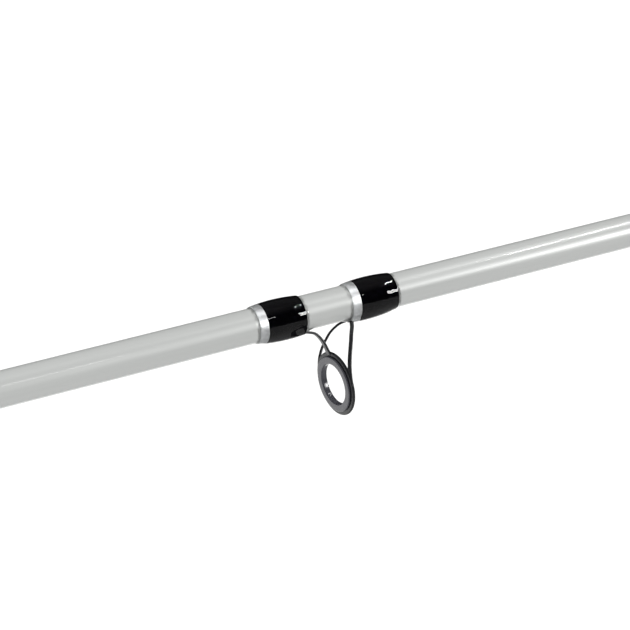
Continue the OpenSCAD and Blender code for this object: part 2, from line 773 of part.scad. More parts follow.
module tip_top_frame() {
    brace = curve([[tip_tube_x + 3, 2.9, -0.2], [blank_tip - 3, 3.7, -1], [blank_tip + 3, 5, -4],
                   [rod_length - 1.2, 5.7, -6.6], [rod_length, 5.75, -8]], 3);
    socket_r = tip_ring_size / 2 - flange_step * tip_k;
    color("#2b2c30") {
        difference() {
            turned([[0, tip_tube_x], [tip_tube_r, tip_tube_x], [tip_tube_r, blank_tip + 0.8],
                    [tip_tube_r - 0.6, blank_tip + 1.6], [0, blank_tip + 1.6]]);
            blank_envelope(tip_tube_x - over, blank_tip);
        }
        difference() {
            union() {
                for (side = [-1, 1]) bent_leg(brace, 1.1, 0.8, side);
                middle_leg([[blank_tip + 0.2, 0, 1.2], [blank_tip + 2.4, 0, 0.9], [rod_length - 0.4, 0, -0.7]],
                           1.6, 0.9);
            }
            blank_envelope(tip_tube_x - 20, blank_tip, 0.3);
            at_ring(rod_length, tip_ring_z, 0)
                turned([[0, -4], [socket_r + 0.15, -4], [socket_r + 0.15, 4], [0, 4]]);
            at_ring(rod_length, tip_ring_z, 0)
                turned([[0, -4], [tip_ring_size / 2 + glue, -4],
                        [tip_ring_size / 2 + glue, -frame_t / 2 * tip_k], [0, -frame_t / 2 * tip_k]]);
        }
        at_ring(rod_length, tip_ring_z, 0) frame_rim_plate(tip_ring_size);
    }
}

tip_ring_z = -tip_ring_size / 2 - 1.2;

module tip_top_ring() {
    at_ring(rod_length, tip_ring_z, 0) ceramic_ring(tip_ring_size);
}

tip_wrap_l = 9;
tip_wrap_end = tip_tube_x - 1.2;

module tip_top_binding() {
    color("#0d0d10") sleeve([[thread_t, tip_wrap_end - tip_wrap_l], [thread_t, tip_wrap_end]]);
}

module tip_top_coat() {
    color("#dfe3e6")
    clear_coat(tip_wrap_end - tip_wrap_l, tip_wrap_end, 0.9, tip_wrap_end, 0, thread_t + 0.7 * coat_t);
}

// ---------- nodes ----------

butt_cap();
rear_grip();
rear_collar();
seat_barrel();
seat_arbors();
fixed_hood();
fixed_hood_pad();
moving_hood();
moving_hood_pad();
lock_nut();
fore_grip();
winding_check();
keeper_base();
keeper_loop();
keeper_binding();
keeper_coat();
butt_blank();
spigot();
tip_blank();
joint_binding(-1);  // joint_binding_butt
joint_binding(1);  // joint_binding_tip
joint_coat(-1);  // joint_coat_butt
joint_coat(1);  // joint_coat_tip
for (i = [0 : guides - 1]) {
    guide_frame(i);
    guide_ring(i);
    guide_thread(i);
    guide_trim(i);
    guide_coat(i);
}
tip_top_frame();
tip_top_ring();
tip_top_binding();
tip_top_coat();
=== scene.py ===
"""Take-apart boat rod: the looks of the rod, built over the packed frame and laid out as an add-on."""

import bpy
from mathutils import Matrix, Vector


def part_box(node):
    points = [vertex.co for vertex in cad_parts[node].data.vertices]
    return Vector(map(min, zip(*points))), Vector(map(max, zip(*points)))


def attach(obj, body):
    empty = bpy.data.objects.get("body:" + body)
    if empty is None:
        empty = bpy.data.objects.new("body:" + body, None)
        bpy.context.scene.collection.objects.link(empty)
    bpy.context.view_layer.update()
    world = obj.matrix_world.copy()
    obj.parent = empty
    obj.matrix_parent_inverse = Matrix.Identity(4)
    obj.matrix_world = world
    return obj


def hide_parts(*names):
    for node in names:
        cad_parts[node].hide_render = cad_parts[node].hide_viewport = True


bl_info = {
    "name": "Take-apart boat rod",
    "version": (1, 0, 0),
    "blender": (4, 5, 0),
    "location": "3D View > Sidebar > Boat rod",
    "description": "Builds a take-apart boat rod with bound line guides, a reel seat and foam grips",
    "category": "Add Mesh",
}

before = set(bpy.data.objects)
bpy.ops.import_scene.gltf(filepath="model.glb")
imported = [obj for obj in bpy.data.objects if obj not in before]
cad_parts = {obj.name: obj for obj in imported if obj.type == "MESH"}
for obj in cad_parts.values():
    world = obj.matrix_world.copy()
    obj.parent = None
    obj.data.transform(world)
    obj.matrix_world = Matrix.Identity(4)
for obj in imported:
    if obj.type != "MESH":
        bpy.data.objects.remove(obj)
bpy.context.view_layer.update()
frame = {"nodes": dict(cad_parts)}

from math import cos, pi, radians, sin, sqrt, tan, tau

import bmesh
import bpy
from bpy.props import FloatProperty, FloatVectorProperty, IntProperty, IntVectorProperty, PointerProperty
from mathutils import Matrix, Vector

MM = 0.001
HANDLE, TIP, HOOD, NUT, KEEPER = "handle_section", "tip_section", "clamp_hood", "lock_nut", "keeper"


def box_mm(node):
    low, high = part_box(node)
    return Vector(low) / MM, Vector(high) / MM


# ---------------------------------------------------------------- sizes and colours


def linear(hex_colour):
    """sRGB hex to the linear colour that the shaders take."""
    out = []
    for i in (1, 3, 5):
        c = int(hex_colour[i:i + 2], 16) / 255
        out.append(c / 12.92 if c <= 0.04045 else ((c + 0.055) / 1.055) ** 2.4)
    return tuple(out)


def length(name, description, mm, low=0.0, high=3000.0):
    return FloatProperty(name=name, description=description, default=mm * MM, min=low * MM, max=high * MM,
                         precision=5, subtype="DISTANCE", unit="LENGTH")


def colour(name, description, hex_colour):
    return FloatVectorProperty(name=name, description=description, default=linear(hex_colour), size=3,
                               min=0.0, max=1.0, subtype="COLOR")


class RodSizes(bpy.types.PropertyGroup):
    """Sizes of the blank, which the bindings and the guides follow."""
    rod: length("Rod length", "Butt end to the middle of the tip ring", 1680)
    butt_d: length("Butt diameter", "Outside diameter that the blank starts from", 12.8)
    tip_d: length("Tip diameter", "Outside diameter of the blank at the tip", 5)
    taper: FloatProperty(name="Taper power", description="How late the blank tapers", default=2.6)
    wall: length("Blank wall", "Wall of the tubular blank", 1.4)
    gap: length("Joint gap", "Bare spigot between the two sections", 3)
    spigot: length("Spigot in each section", "Length of the spigot inside each section", 55)


class GuideSizes(bpy.types.PropertyGroup):
    """Sizes of a size 20 guide, which the other guides scale."""
    ring_wall: length("Ring wall", "Ceramic ring from its bore to its flange", 2.75)
    ring_lip: length("Ring lip", "Rounding of the bore at its faces", 0.45)
    flange_step: length("Flange step", "From the flange in to the pressed body", 0.7)
    flange_t: length("Flange thickness", "Flange in front of the frame", 0.75)
    back_lip: length("Back lip", "Ring behind the frame", 0.45)
    frame_t: length("Frame thickness", "Sheet metal of the frame", 1.1)
    frame_rim: length("Frame rim", "Rim outside the flange", 1.45)
    leg_w: length("Side leg width", "Width of the frame's side legs", 1.5)
    centre_w: length("Centre leg width", "Width of the frame's centre leg", 2.6)
    leg_t: length("Leg thickness", "Thickness of the frame's legs", 0.85)
    ring_drop: length("Ring drop", "Middle of the ring below the blank", 20.7)
    ring_lean: FloatProperty(name="Ring lean", description="Lean of the rings towards the tip",
                             default=radians(2.5), subtype="ANGLE", unit="ROTATION")
    first_turn: FloatProperty(name="First ring's turn", description="How far askew the first guide's ring stands",
                              default=radians(6), subtype="ANGLE", unit="ROTATION")
    sizes: IntVectorProperty(name="Ring sizes", description="Outside diameters of the rings in mm", size=5,
                             default=(20, 16, 12, 10, 10))
    shares: FloatVectorProperty(name="Guide places", description="Shares of the blank in front of the handle", size=5,
                                precision=4, default=(0.1314, 0.3644, 0.5636, 0.7331, 0.8771))
    heel_reach: length("Heel reach", "Ring's middle to the heel of each foot", 8.4)
    heel_bare: length("Bare heel", "Heel that the binding leaves bare", 0.5)
    foot_l: length("Foot length", "Length of each foot", 16)
    foot_w: length("Foot width", "Width of a foot at its heel", 3.4)
    foot_t: length("Foot thickness", "Thickness of a foot at its heel", 0.9)
    thread_t: length("Thread", "Thickness of the bound thread", 0.35)
    black_l: length("Black binding", "Length of the black binding over each foot", 14.4)
    trim_l: length("Silver trim", "Length of the silver binding beside each black one", 3.2)
    coat_run: length("Coat run-out", "How far the clear coat runs past the thread", 0.8)
    coat_t: length("Coat thickness", "Clear coat over the thread at its crown", 0.75)


class HandleSizes(bpy.types.PropertyGroup):
    """Sizes of the handle's pieces."""
    cap_d: length("Butt cap", "Diameter of the butt cap", 33)
    waist_d: length("Rear waist", "Rear grip at its waist", 25)
    shoulder_d: length("Rear shoulder", "Rear grip where it meets the reel seat", 30)
    fore_d: length("Fore grip", "Fore grip at its thickest", 30)
    nose_d: length("Fore grip nose", "Fore grip at its nose", 19)
    seat_d: length("Seat barrel", "Outside diameter of the seat barrel", 25.5)
    landing: length("Landing depth", "Depth of the flat for the reel foot", 1.6)
    pitch: length("Thread pitch", "Pitch of the seat thread", 2)
    thread_depth: length("Thread depth", "Depth of the seat thread", 0.8)
    pocket: length("Pocket height", "Height of the hood's pocket over the landing", 7.4)
    hood_wall: length("Hood wall", "Wall of the hoods", 1.5)
    flutes: IntProperty(name="Nut flutes", description="Grooves round the lock nut", default=20, min=6, max=60)


class Finishes(bpy.types.PropertyGroup):
    """Colours of the rod's finishes."""
    pearl: colour("Pearl paint", "Painted blank", "#C2C4C2")
    black_thread: colour("Black thread", "Nylon binding thread", "#050508")
    silver_thread: colour("Silver thread", "Metallic trim thread", "#DCDEDF")
    frame: colour("Frame black", "Coat on the guide frames", "#1B1C1F")
    ceramic: colour("Ring grey", "Ceramic rings", "#404046")
    foam: colour("Foam", "Grips", "#1D1D1F")
    rubber: colour("Rubber", "Butt cap and cushions", "#151517")
    metal: colour("Bare metal", "Collar, check and hoods", "#C4C7CA")


class StageSettings(bpy.types.PropertyGroup):
    """Camera and light."""
    yaw: FloatProperty(name="Camera yaw", description="Turn of the view from square-on towards the tip",
                       default=radians(22.7), subtype="ANGLE", unit="ROTATION")
    pitch: FloatProperty(name="Camera pitch", description="Height of the view above the rod",
                         default=radians(10), subtype="ANGLE", unit="ROTATION")
    roll: FloatProperty(name="Camera roll", description="Rise of the rod across the view",
                        default=radians(14.2), subtype="ANGLE", unit="ROTATION")
    distance: length("Camera distance", "From the camera to the rod", 1150)
    frame_width: length("Frame width", "Width that the view covers at the rod", 217.2)
    dome: FloatProperty(name="Dome", description="Brightness of the even light from all round", default=1.06)


GROUPS = {"rod_sizes": RodSizes, "guide_sizes": GuideSizes, "handle_sizes": HandleSizes,
          "rod_finishes": Finishes, "rod_stage": StageSettings}


class MmView:
    """Reads a property group's lengths in millimetres."""

    def __init__(self, group):
        self.group = group

    def __getattr__(self, name):
        value = getattr(self.group, name)
        return value / MM if isinstance(value, float) and name not in ("taper", "ring_lean", "first_turn") else value


def rod():
    return MmView(bpy.context.scene.rod_sizes)


def guide():
    return MmView(bpy.context.scene.guide_sizes)


def handle():
    return MmView(bpy.context.scene.handle_sizes)


def blank_r(x):
    """Radius of the blank at a distance from the butt end, in mm."""
    r = rod()
    return (r.butt_d - (r.butt_d - r.tip_d) * (max(x, 0.0) / r.rod) ** r.taper) / 2


# ---------------------------------------------------------------- mesh helpers


def stations(a, b, n):
    return [a + (b - a) * i / n for i in range(n + 1)]


def mix(a, b, s):
    return a + (b - a) * s


def smooth_step(a, b, v):
    t = min(max((v - a) / (b - a), 0.0), 1.0)
    return t * t * (3 - 2 * t)


def new_piece(name, mesh, material, body, nodes=(), sharp=35):
    """Finishes a mesh in mm as a piece in metres that rides on a body and stands for its CAD nodes."""
    mesh.transform(Matrix.Scale(MM, 4))
    mesh.validate()
    mesh.shade_smooth()
    mesh.set_sharp_from_angle(angle=radians(sharp))
    piece = bpy.data.objects.new(name, mesh)
    bpy.context.scene.collection.objects.link(piece)
    mesh.materials.append(material)
    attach(piece, body)
    if nodes:
        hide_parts(*nodes)
    return piece


def loft(bm, rings, segments=96, closed=False, place=None):
    """Skins rings round the X axis. A ring is (x, radius) and the radius a number or a function of the angle,
    which is 0 at the bottom and grows towards +Y. Closed joins the last ring to the first."""
    place = place or Matrix.Identity(4)
    rows = []
    for x, r in rings:
        row = []
        for j in range(segments):
            a = tau * j / segments
            radius = r(a) if callable(r) else r
            row.append(bm.verts.new(place @ Vector((x, radius * sin(a), -radius * cos(a)))))
        rows.append(row)
    pairs = list(zip(rows, rows[1:])) + ([(rows[-1], rows[0])] if closed else [])
    for low, high in pairs:
        for j in range(segments):
            k = (j + 1) % segments
            bm.faces.new((low[j], high[j], high[k], low[k]))
    if not closed:
        bm.faces.new(rows[0])
        bm.faces.new(list(reversed(rows[-1])))
    return rows


def bm_mesh(name, bm):
    bmesh.ops.recalc_face_normals(bm, faces=bm.faces)
    mesh = bpy.data.meshes.new(name)
    bm.to_mesh(mesh)
    bm.free()
    return mesh


def loft_mesh(name, lofts):
    bm = bmesh.new()
    for rings, options in lofts:
        loft(bm, rings, **options)
    return bm_mesh(name, bm)


def turned(name, nodes, rings, kind, slot, body=None, sharp=35, **options):
    """One lofted piece, closed on itself unless the options say otherwise."""
    mesh = loft_mesh(name, [(rings, {"closed": True, **options})])
    return new_piece(name, mesh, finish(kind), body or HANDLE, nodes, sharp)


def arc(x, y, r, start, end, step):
    """Points round a circle, from one angle to another in whole degrees."""
    angles = [radians(a) for a in range(start, end + (1 if step > 0 else -1), step)]
    return [(x + r * cos(a), y + r * sin(a)) for a in angles]


def curve(points, n):
    """Catmull-Rom points along a path."""
    p = [Vector(q) for q in points]
    out = []
    for i in range(len(p) - 1):
        a, b, c, d = p[max(i - 1, 0)], p[i], p[i + 1], p[min(i + 2, len(p) - 1)]
        for j in range(n):
            t = j / n
            out.append(0.5 * (2 * b + (c - a) * t + (2 * a - 5 * b + 4 * c - d) * t * t
                              + (3 * b - a - 3 * c + d) * t ** 3))
    out.append(p[-1])
    return out


def sweep(bm, path, section, face, closed=False):
    """Sweeps a section of (across, out) points along a path; face is the way its outward side looks."""
    rows = []
    n = len(path)
    for i, p in enumerate(path):
        ahead = path[(i + 1) % n] if closed else path[min(i + 1, n - 1)]
        behind = path[i - 1] if closed else path[max(i - 1, 0)]
        along = (ahead - behind).normalized()
        s = i / (n - 1)
        asked = face(s) if callable(face) else Vector(face)
        out = (asked - asked.dot(along) * along).normalized()
        across = along.cross(out)
        outline = section(s) if callable(section) else section
        rows.append([bm.verts.new(p + across * u + out * v) for u, v in outline])
    m = len(rows[0])
    pairs = list(zip(rows, rows[1:])) + ([(rows[-1], rows[0])] if closed else [])
    for low, high in pairs:
        for j in range(m):
            k = (j + 1) % m
            bm.faces.new((low[j], low[k], high[k], high[j]))
    if not closed:
        bm.faces.new(list(reversed(rows[0])))
        bm.faces.new(rows[-1])


def up_to_forward(s):
    """The way a strip looks when it turns from level to square across the rod."""
    return mix(Vector((0, 0, 1)), Vector((1, 0, 0)), s)


def rounded_section(w, t, ease, n=4):
    """A rounded rectangle w across and t thick."""
    out = []
    for cx, cy, start in ((1, 1, 0), (-1, 1, 90), (-1, -1, 180), (1, -1, 270)):
        for i in range(n + 1):
            a = radians(start + 90 * i / n)
            out.append((cx * (w / 2 - ease) + ease * cos(a), cy * (t / 2 - ease) + ease * sin(a)))
    return out


def round_section(r, n=16):
    return [(r * cos(tau * i / n), r * sin(tau * i / n)) for i in range(n)]


def slab(bm, outline, low_z, high_z):
    """A slab from an outline of (x, y) points; each end of the thickness is a function of x and y."""
    low = [bm.verts.new((x, y, low_z(x, y))) for x, y in outline]
    high = [bm.verts.new((x, y, high_z(x, y))) for x, y in outline]
    n = len(outline)
    for j in range(n):
        k = (j + 1) % n
        bm.faces.new((low[j], low[k], high[k], high[j]))
    bmesh.ops.triangulate(bm, faces=[bm.faces.new(list(reversed(low))), bm.faces.new(high)])


def fuse(mesh, voxel, smooth=3, factor=0.5):
    """Melts overlapping pieces of a mesh in mm into one skin with small fillets where they meet."""
    work = bpy.data.objects.new("fusing", mesh)
    bpy.context.scene.collection.objects.link(work)
    remesh = work.modifiers.new("melt", "REMESH")
    remesh.mode = "VOXEL"
    remesh.voxel_size = voxel
    ease = work.modifiers.new("ease", "SMOOTH")
    ease.iterations = smooth
    ease.factor = factor
    graph = bpy.context.evaluated_depsgraph_get()
    fused = bpy.data.meshes.new_from_object(work.evaluated_get(graph), depsgraph=graph)
    bpy.data.objects.remove(work)
    return fused


# ---------------------------------------------------------------- materials


def add_node(tree, kind, settings=None, links=None):
    """Adds a node, sets its properties and sockets, and links its inputs."""
    made = tree.nodes.new(kind)
    for key, value in (settings or {}).items():
        if hasattr(made, key) and not (key in made.inputs and isinstance(key, str) and key[0].isupper()):
            setattr(made, key, value)
        else:
            made.inputs[key].default_value = value
    for key, source in (links or {}).items():
        tree.links.new(source, made.inputs[key])
    return made


def surface(name, base, metallic=0.0, roughness=0.5, **more):
    """A new material with a principled shader; more holds its other sockets by name with _ for spaces."""
    m = bpy.data.materials.new(name)
    m.use_nodes = True
    tree = m.node_tree
    shader = tree.nodes["Principled BSDF"]
    shader.inputs["Base Color"].default_value = (*base, 1)
    shader.inputs["Metallic"].default_value = metallic
    shader.inputs["Roughness"].default_value = roughness
    for key, value in more.items():
        shader.inputs[key.replace("_", " ")].default_value = value
    return m, tree, shader


def place_coords(tree, scale):
    """Object coordinates, in metres, stretched by a scale for each axis."""
    where = add_node(tree, "ShaderNodeTexCoord")
    return add_node(tree, "ShaderNodeMapping", {"Scale": scale}, {"Vector": where.outputs["Object"]}).outputs[0]


def noise(tree, scale, coords, detail=3.0, rough=0.5):
    return add_node(tree, "ShaderNodeTexNoise", {"Scale": scale, "Detail": detail, "Roughness": rough},
                    {"Vector": coords}).outputs["Fac"]


def map_range(tree, value, start, end, low, high):
    """Maps start to end onto low to high."""
    return add_node(tree, "ShaderNodeMapRange", {"From Min": start, "From Max": end, "To Min": low, "To Max": high},
                    {"Value": value}).outputs["Result"]


def vary_roughness(tree, shader, fac, low, high):
    """Links the roughness to a value that runs from low to high with a pattern."""
    tree.links.new(map_range(tree, fac, 0.3, 0.7, low, high), shader.inputs["Roughness"])


def tint(tree, shader, fac, dark, light):
    """Links the base colour to a mix of two colours by a pattern."""
    made = add_node(tree, "ShaderNodeMix", {"data_type": "RGBA"}, {0: fac})
    made.inputs[6].default_value = (*dark, 1)
    made.inputs[7].default_value = (*light, 1)
    tree.links.new(made.outputs[2], shader.inputs["Base Color"])


def bump(tree, shader, height, strength, distance_mm):
    made = add_node(tree, "ShaderNodeBump", {"Strength": strength, "Distance": distance_mm * MM}, {"Height": height})
    tree.links.new(made.outputs["Normal"], shader.inputs["Normal"])


def shade(base, factor):
    return tuple(min(c * factor, 1.0) for c in base)


def grained(name, base, metallic, roughness, scale, detail, tints=None, roughs=None, relief=None, **more):
    """A surface with one noise pattern, for its tints, its range of roughness and its relief as asked."""
    m, tree, shader = surface(name, base, metallic, roughness, **more)
    grain = noise(tree, 1.0, place_coords(tree, scale), detail)
    if tints:
        tint(tree, shader, grain, *tints)
    if roughs:
        vary_roughness(tree, shader, grain, *roughs)
    if relief:
        bump(tree, shader, grain, *relief)
    return m


# Finishes that were made already, by name
MADE = {}


def finish(name):
    """The material for a finish, made once."""
    if name not in MADE:
        MADE[name] = FINISH_MAKERS[name](bpy.context.scene.rod_finishes)
    return MADE[name]


def pearl_paint(c):
    """Pearl paint under clear gloss on a wound blank: soft long streaks, fine mica glints, a gentle sheen."""
    m, tree, shader = surface("pearl_paint_under_gloss", c.pearl, 0.2, 0.36, Coat_Weight=0.55, Coat_Roughness=0.07,
                              Coat_IOR=1.5)
    streaks = noise(tree, 1.0, place_coords(tree, (9, 420, 420)), 4.0, 0.6)
    tint(tree, shader, streaks, shade(c.pearl, 0.93), shade(c.pearl, 1.04))
    vary_roughness(tree, shader, streaks, 0.30, 0.40)
    # Mica flakes are near 0.05 mm; they are drawn at 0.4 mm so that they show
    flakes = add_node(tree, "ShaderNodeTexVoronoi", {"Scale": 2500.0}, {"Vector": place_coords(tree, (1, 1, 1))})
    bump(tree, shader, flakes.outputs["Color"], 0.06, 0.03)
    return m


def wound_thread(name, base, metallic, roughness, pitch_mm, strength, **more):
    """Thread bound round the blank, a ridge for each turn."""
    m, tree, shader = surface(name, base, metallic, roughness, **more)
    coords = place_coords(tree, (1, 1, 1))
    turns = add_node(tree, "ShaderNodeTexWave", {"wave_type": "BANDS", "bands_direction": "X",
                     "Scale": pi / 10 / (pitch_mm * MM), "Distortion": 0.6, "Detail": 1.0,
                     "Detail Scale": 2.0}, {"Vector": coords})
    fibres = noise(tree, 1.0, place_coords(tree, (6000, 900, 900)), 2.0)
    tint(tree, shader, fibres, shade(base, 0.8), shade(base, 1.25))
    bump(tree, shader, turns.outputs["Fac"], strength, 0.06)
    return m


def black_thread(c):
    """Black nylon thread: the epoxy that soaks it is nearly as dense, so it hardly shines."""
    return wound_thread("black_nylon_thread_bound", c.black_thread, 0.0, 0.45, 0.3, 0.35, Specular_IOR_Level=0.0)


def silver_thread(c):
    """Metallic foil thread: bright turns 0.4 mm apart that glint one by one."""
    return wound_thread("silver_metallic_thread_bound", c.silver_thread, 0.6, 0.36, 0.4, 0.5)


def clear_epoxy(c):
    """Cured epoxy, brushed on and turned until level: glassy, with a very slow wave in its surface."""
    return grained("clear_epoxy_rod_coat", (0.985, 0.985, 0.98), 0.0, 0.02, (160, 160, 160), 1.0, relief=(0.10, 0.25),
                   Transmission_Weight=1.0, IOR=1.42)


def frame_black(c):
    """Satin black coat baked on stainless sheet: an even dark skin with a fine grain."""
    return grained("satin_black_coated_steel", c.frame, 0.0, 0.36, (2600, 2600, 2600), 3.0,
                   (shade(c.frame, 0.85), shade(c.frame, 1.2)), (0.32, 0.42), (0.12, 0.02),
                   Coat_Weight=0.15, Coat_Roughness=0.3)


def ring_ceramic(c):
    """Aluminium oxide ring, ground and polished: mid grey, smooth, with a tight highlight."""
    return grained("polished_oxide_ceramic", c.ceramic, 0.0, 0.2, (1500, 1500, 1500), 4.0,
                   (shade(c.ceramic, 0.85), shade(c.ceramic, 1.15)), (0.16, 0.26),
                   Coat_Weight=0.3, Coat_Roughness=0.08)


def foam_grip(c):
    """Closed-cell foam, turned and sanded: matt, with fine open cells about 0.3 mm across."""
    m, tree, shader = surface("sanded_closed_cell_foam", c.foam, 0.0, 0.86, Sheen_Weight=0.15, Sheen_Roughness=0.5)
    coords = place_coords(tree, (1, 1, 1))
    cells = add_node(tree, "ShaderNodeTexVoronoi", {"Scale": 1600.0}, {"Vector": coords})
    tint(tree, shader, noise(tree, 700.0, coords, 3.0), shade(c.foam, 0.75), shade(c.foam, 1.5))
    bump(tree, shader, cells.outputs["Distance"], 0.5, 0.12)
    return m


def moulded_rubber(c):
    """Moulded rubber: matt black with a light grey bloom and a fine eroded mould texture."""
    m, tree, shader = surface("moulded_butyl_rubber", c.rubber, 0.0, 0.7)
    coords = place_coords(tree, (1, 1, 1))
    tint(tree, shader, noise(tree, 60.0, coords, 4.0), shade(c.rubber, 0.8), shade(c.rubber, 1.6))
    bump(tree, shader, noise(tree, 2400.0, coords, 2.0), 0.3, 0.05)
    return m


def turned_aluminium(c):
    """Aluminium turned on a lathe and polished: bright, with rings of tool marks 0.25 mm apart."""
    return grained("turned_polished_aluminium", c.metal, 1.0, 0.22, (4000, 30, 30), 2.0,
                   roughs=(0.16, 0.3), relief=(0.12, 0.02))


def brushed_stainless(c):
    """Drawn stainless steel, brushed round the hood: bright with fine hairlines."""
    return grained("brushed_stainless_steel", shade(c.metal, 0.92), 1.0, 0.3, (3500, 90, 90), 3.0,
                   (shade(c.metal, 0.84), shade(c.metal, 1.0)), (0.24, 0.38), (0.18, 0.02))


def moulded_nylon(c):
    """Glass-filled nylon, moulded: satin black with a faint fibre mottle."""
    return grained("glass_filled_nylon_moulded", linear("#151618"), 0.0, 0.42, (500, 1500, 1500), 4.0,
                   (linear("#101113"), linear("#1D1E21")), (0.36, 0.5), (0.12, 0.03))


def ground_carbon(c):
    """Carbon rod, ground to size: dark grey with fine rings from the grinding belt."""
    return grained("ground_carbon_rod", linear("#2B2C2F"), 0.25, 0.4, (5000, 60, 60), 3.0,
                   (linear("#1E1F22"), linear("#3C3E42")), relief=(0.25, 0.02))


def arbor_foam(c):
    """Rigid polyurethane foam: dull tan with pores about 1 mm across, each painted darker towards its sunken middle
    as painted shade.
    """
    m, tree, shader = surface("rigid_urethane_foam", linear("#B9AF95"), 0.0, 0.9)
    pores_and_pore_shade = add_node(tree, "ShaderNodeTexVoronoi", {"Scale": 900.0}, {"Vector": place_coords(tree, (1, 1, 1))})
    # Painted shade: each pore is coloured darker towards its middle, where the bump sinks
    tint(tree, shader, pores_and_pore_shade.outputs["Distance"], linear("#8E846B"), linear("#C9C0A6"))
    bump(tree, shader, pores_and_pore_shade.outputs["Distance"], 0.6, 0.2)
    return m


FINISH_MAKERS = {"pearl": pearl_paint, "black_thread": black_thread, "silver_thread": silver_thread,
                 "epoxy": clear_epoxy, "frame": frame_black, "ceramic": ring_ceramic, "foam": foam_grip,
                 "rubber": moulded_rubber, "aluminium": turned_aluminium, "stainless": brushed_stainless,
                 "nylon": moulded_nylon, "carbon": ground_carbon, "arbor": arbor_foam}


# ---------------------------------------------------------------- blank


class ROD_OT_blank(bpy.types.Operator):
    """Builds both sections of the blank and the spigot that joins them"""
    bl_idname = "boat_rod.blank"
    bl_label = "Blank and spigot"

    def execute(self, context):
        r = rod()
        for name, node, body in (("blank.butt_section", "butt_blank", HANDLE),
                                 ("blank.tip_section", "tip_blank", TIP)):
            low, high = box_mm(node)
            a, b = low.x, high.x
            bevel = 0.25
            outer = [(x, blank_r(x)) for x in stations(a + bevel, b - bevel, 60)]
            inner = [(x, blank_r(x) - r.wall) for x in reversed(stations(a + bevel, b - bevel, 30))]
            if node == "tip_blank":
                socket_end = a + r.spigot + 2
                socket = spigot_radius() + 0.05
                inner = [(x, socket if x < socket_end else rr) for x, rr in inner]
            rings = [(a, blank_r(a) - bevel), *outer, (b, blank_r(b) - bevel),
                     (b, inner[0][1] + bevel), *inner, (a, inner[-1][1] + bevel)]
            turned(name, (node,), rings, "pearl", "pearl_blank", body)
        low, high = box_mm("spigot")
        s = spigot_radius()
        rings = [(low.x, s - 1.2), (low.x + 0.3, s - 0.7), (low.x + 1, s)]
        rings += [(high.x - back, s - down) for back, down in ((2.4, 0), (1.2, 0.35), (0.3, 1.2), (0, 1.9))]
        turned("spigot.rod", ("spigot",), rings, "carbon", "spigot_rod", closed=False)
        return {"FINISHED"}


def spigot_radius():
    low, high = box_mm("spigot")
    return (high.z - low.z) / 2


# ---------------------------------------------------------------- bindings


class Binding:
    """A thread binding with its clear coat: over the plain blank, or over a foot whose heel is at one end."""

    def __init__(self, a, b, run, coat, thread, foot=None):
        self.a, self.b, self.coat, self.thread, self.foot = a, b, coat, thread, foot
        # The coat fades out past its run, and wicks further along the legs in a small fillet
        self.tail = 1.5 * run
        self.wick = 3.2 * foot[3] if foot else 0.0

    def foot_rise(self, x, angle, spread):
        """How far a layer over the foot stands up at a place; the angle is 0 at the bottom."""
        if not self.foot:
            return 0.0
        heel, toe, width, thick = self.foot
        s = (x - heel) / (toe - heel)
        if s > 1.04:
            return 0.0
        across = abs((angle + pi) % tau - pi) * blank_r(x)
        half = width / 2 * mix(1.0, 0.45, smooth_step(0.75, 1.0, max(s, 0.0)))
        lift = mix(thick, 0.2 * thick, min(max(s, 0.0), 1.0)) * (1 - smooth_step(0.97, 1.04, s))
        return lift * (1 - smooth_step(half, half + spread, across))

    def thread_rings(self, a, b, steps):
        out = [(a, lambda t: blank_r(a) - 0.1)]
        for i, x in enumerate(stations(a, b, steps)):
            drop = 0.05 if i in (0, steps) else 0.0
            out.append((x, lambda t, x=x, drop=drop: blank_r(x) + self.thread - drop + self.foot_rise(x, t, 1.6)))
        out.append((b, lambda t: blank_r(b) - 0.1))
        return out

    def coat_height(self, x):
        """Height of the clear coat over the blank where there is no foot: a crown that runs out over the blank."""
        s = min(max((x - self.a) / (self.b - self.a), 0.0), 1.0)
        past = max(self.a - x, x - self.b, 0.0) / self.tail
        edge = self.thread + 0.12
        crown = edge + (self.thread + self.coat - edge) * sin(pi * s) ** 0.8
        return crown * max(1 - past, 0.0) ** 1.6

    def coat_rings(self, steps):
        low, high = self.a - self.tail, self.b + self.tail
        if self.foot and self.foot[1] < self.foot[0]:
            high += self.wick
        elif self.foot:
            low -= self.wick
        # Stations crowd towards both ends of the thread, where the coat rounds over
        xs = stations(low, self.a, 10)[:-1] + stations(self.b, high, 10)[1:]
        xs = sorted(xs + [mix(self.a, self.b, (1 - cos(pi * i / steps)) / 2) for i in range(steps + 1)])
        return [(x, lambda t, x=x: self.coat_surface(x, t)) for x in xs]

    def coat_surface(self, x, t):
        base = blank_r(x) - 0.03 + self.coat_height(x)
        if self.foot:
            heel, toe, width, thick = self.foot
            past = (x - self.b if toe < heel else self.a - x) / (self.tail + self.wick)
            if past <= 0:
                return base + 0.85 * self.foot_rise(x, t, 3.2)
            across = abs((t + pi) % tau - pi) * blank_r(x)
            base += 1.15 * thick * max(1 - past, 0.0) ** 1.4 * (1 - smooth_step(0.2 * width, 1.1 * width, across))
        return base


def bound(name, bindings, thread_spans, body, nodes, coat_name, coat_nodes):
    """Makes a thread piece for each kind of thread and one clear coat over them."""
    for kind, spans in thread_spans.items():
        lofts = [(bind.thread_rings(a, b, steps), {"segments": 128}) for bind, a, b, steps in spans]
        new_piece(f"{name}.{kind}", loft_mesh(name, lofts), finish(kind), body, nodes[kind])
    lofts = [(bind.coat_rings(48), {"segments": 128}) for bind in bindings]
    coat = new_piece(coat_name, loft_mesh(coat_name, lofts), finish("epoxy"), body, coat_nodes, 60)
    # Light reaches the thread through the coat
    coat.visible_shadow = False
    return coat


# ---------------------------------------------------------------- guides

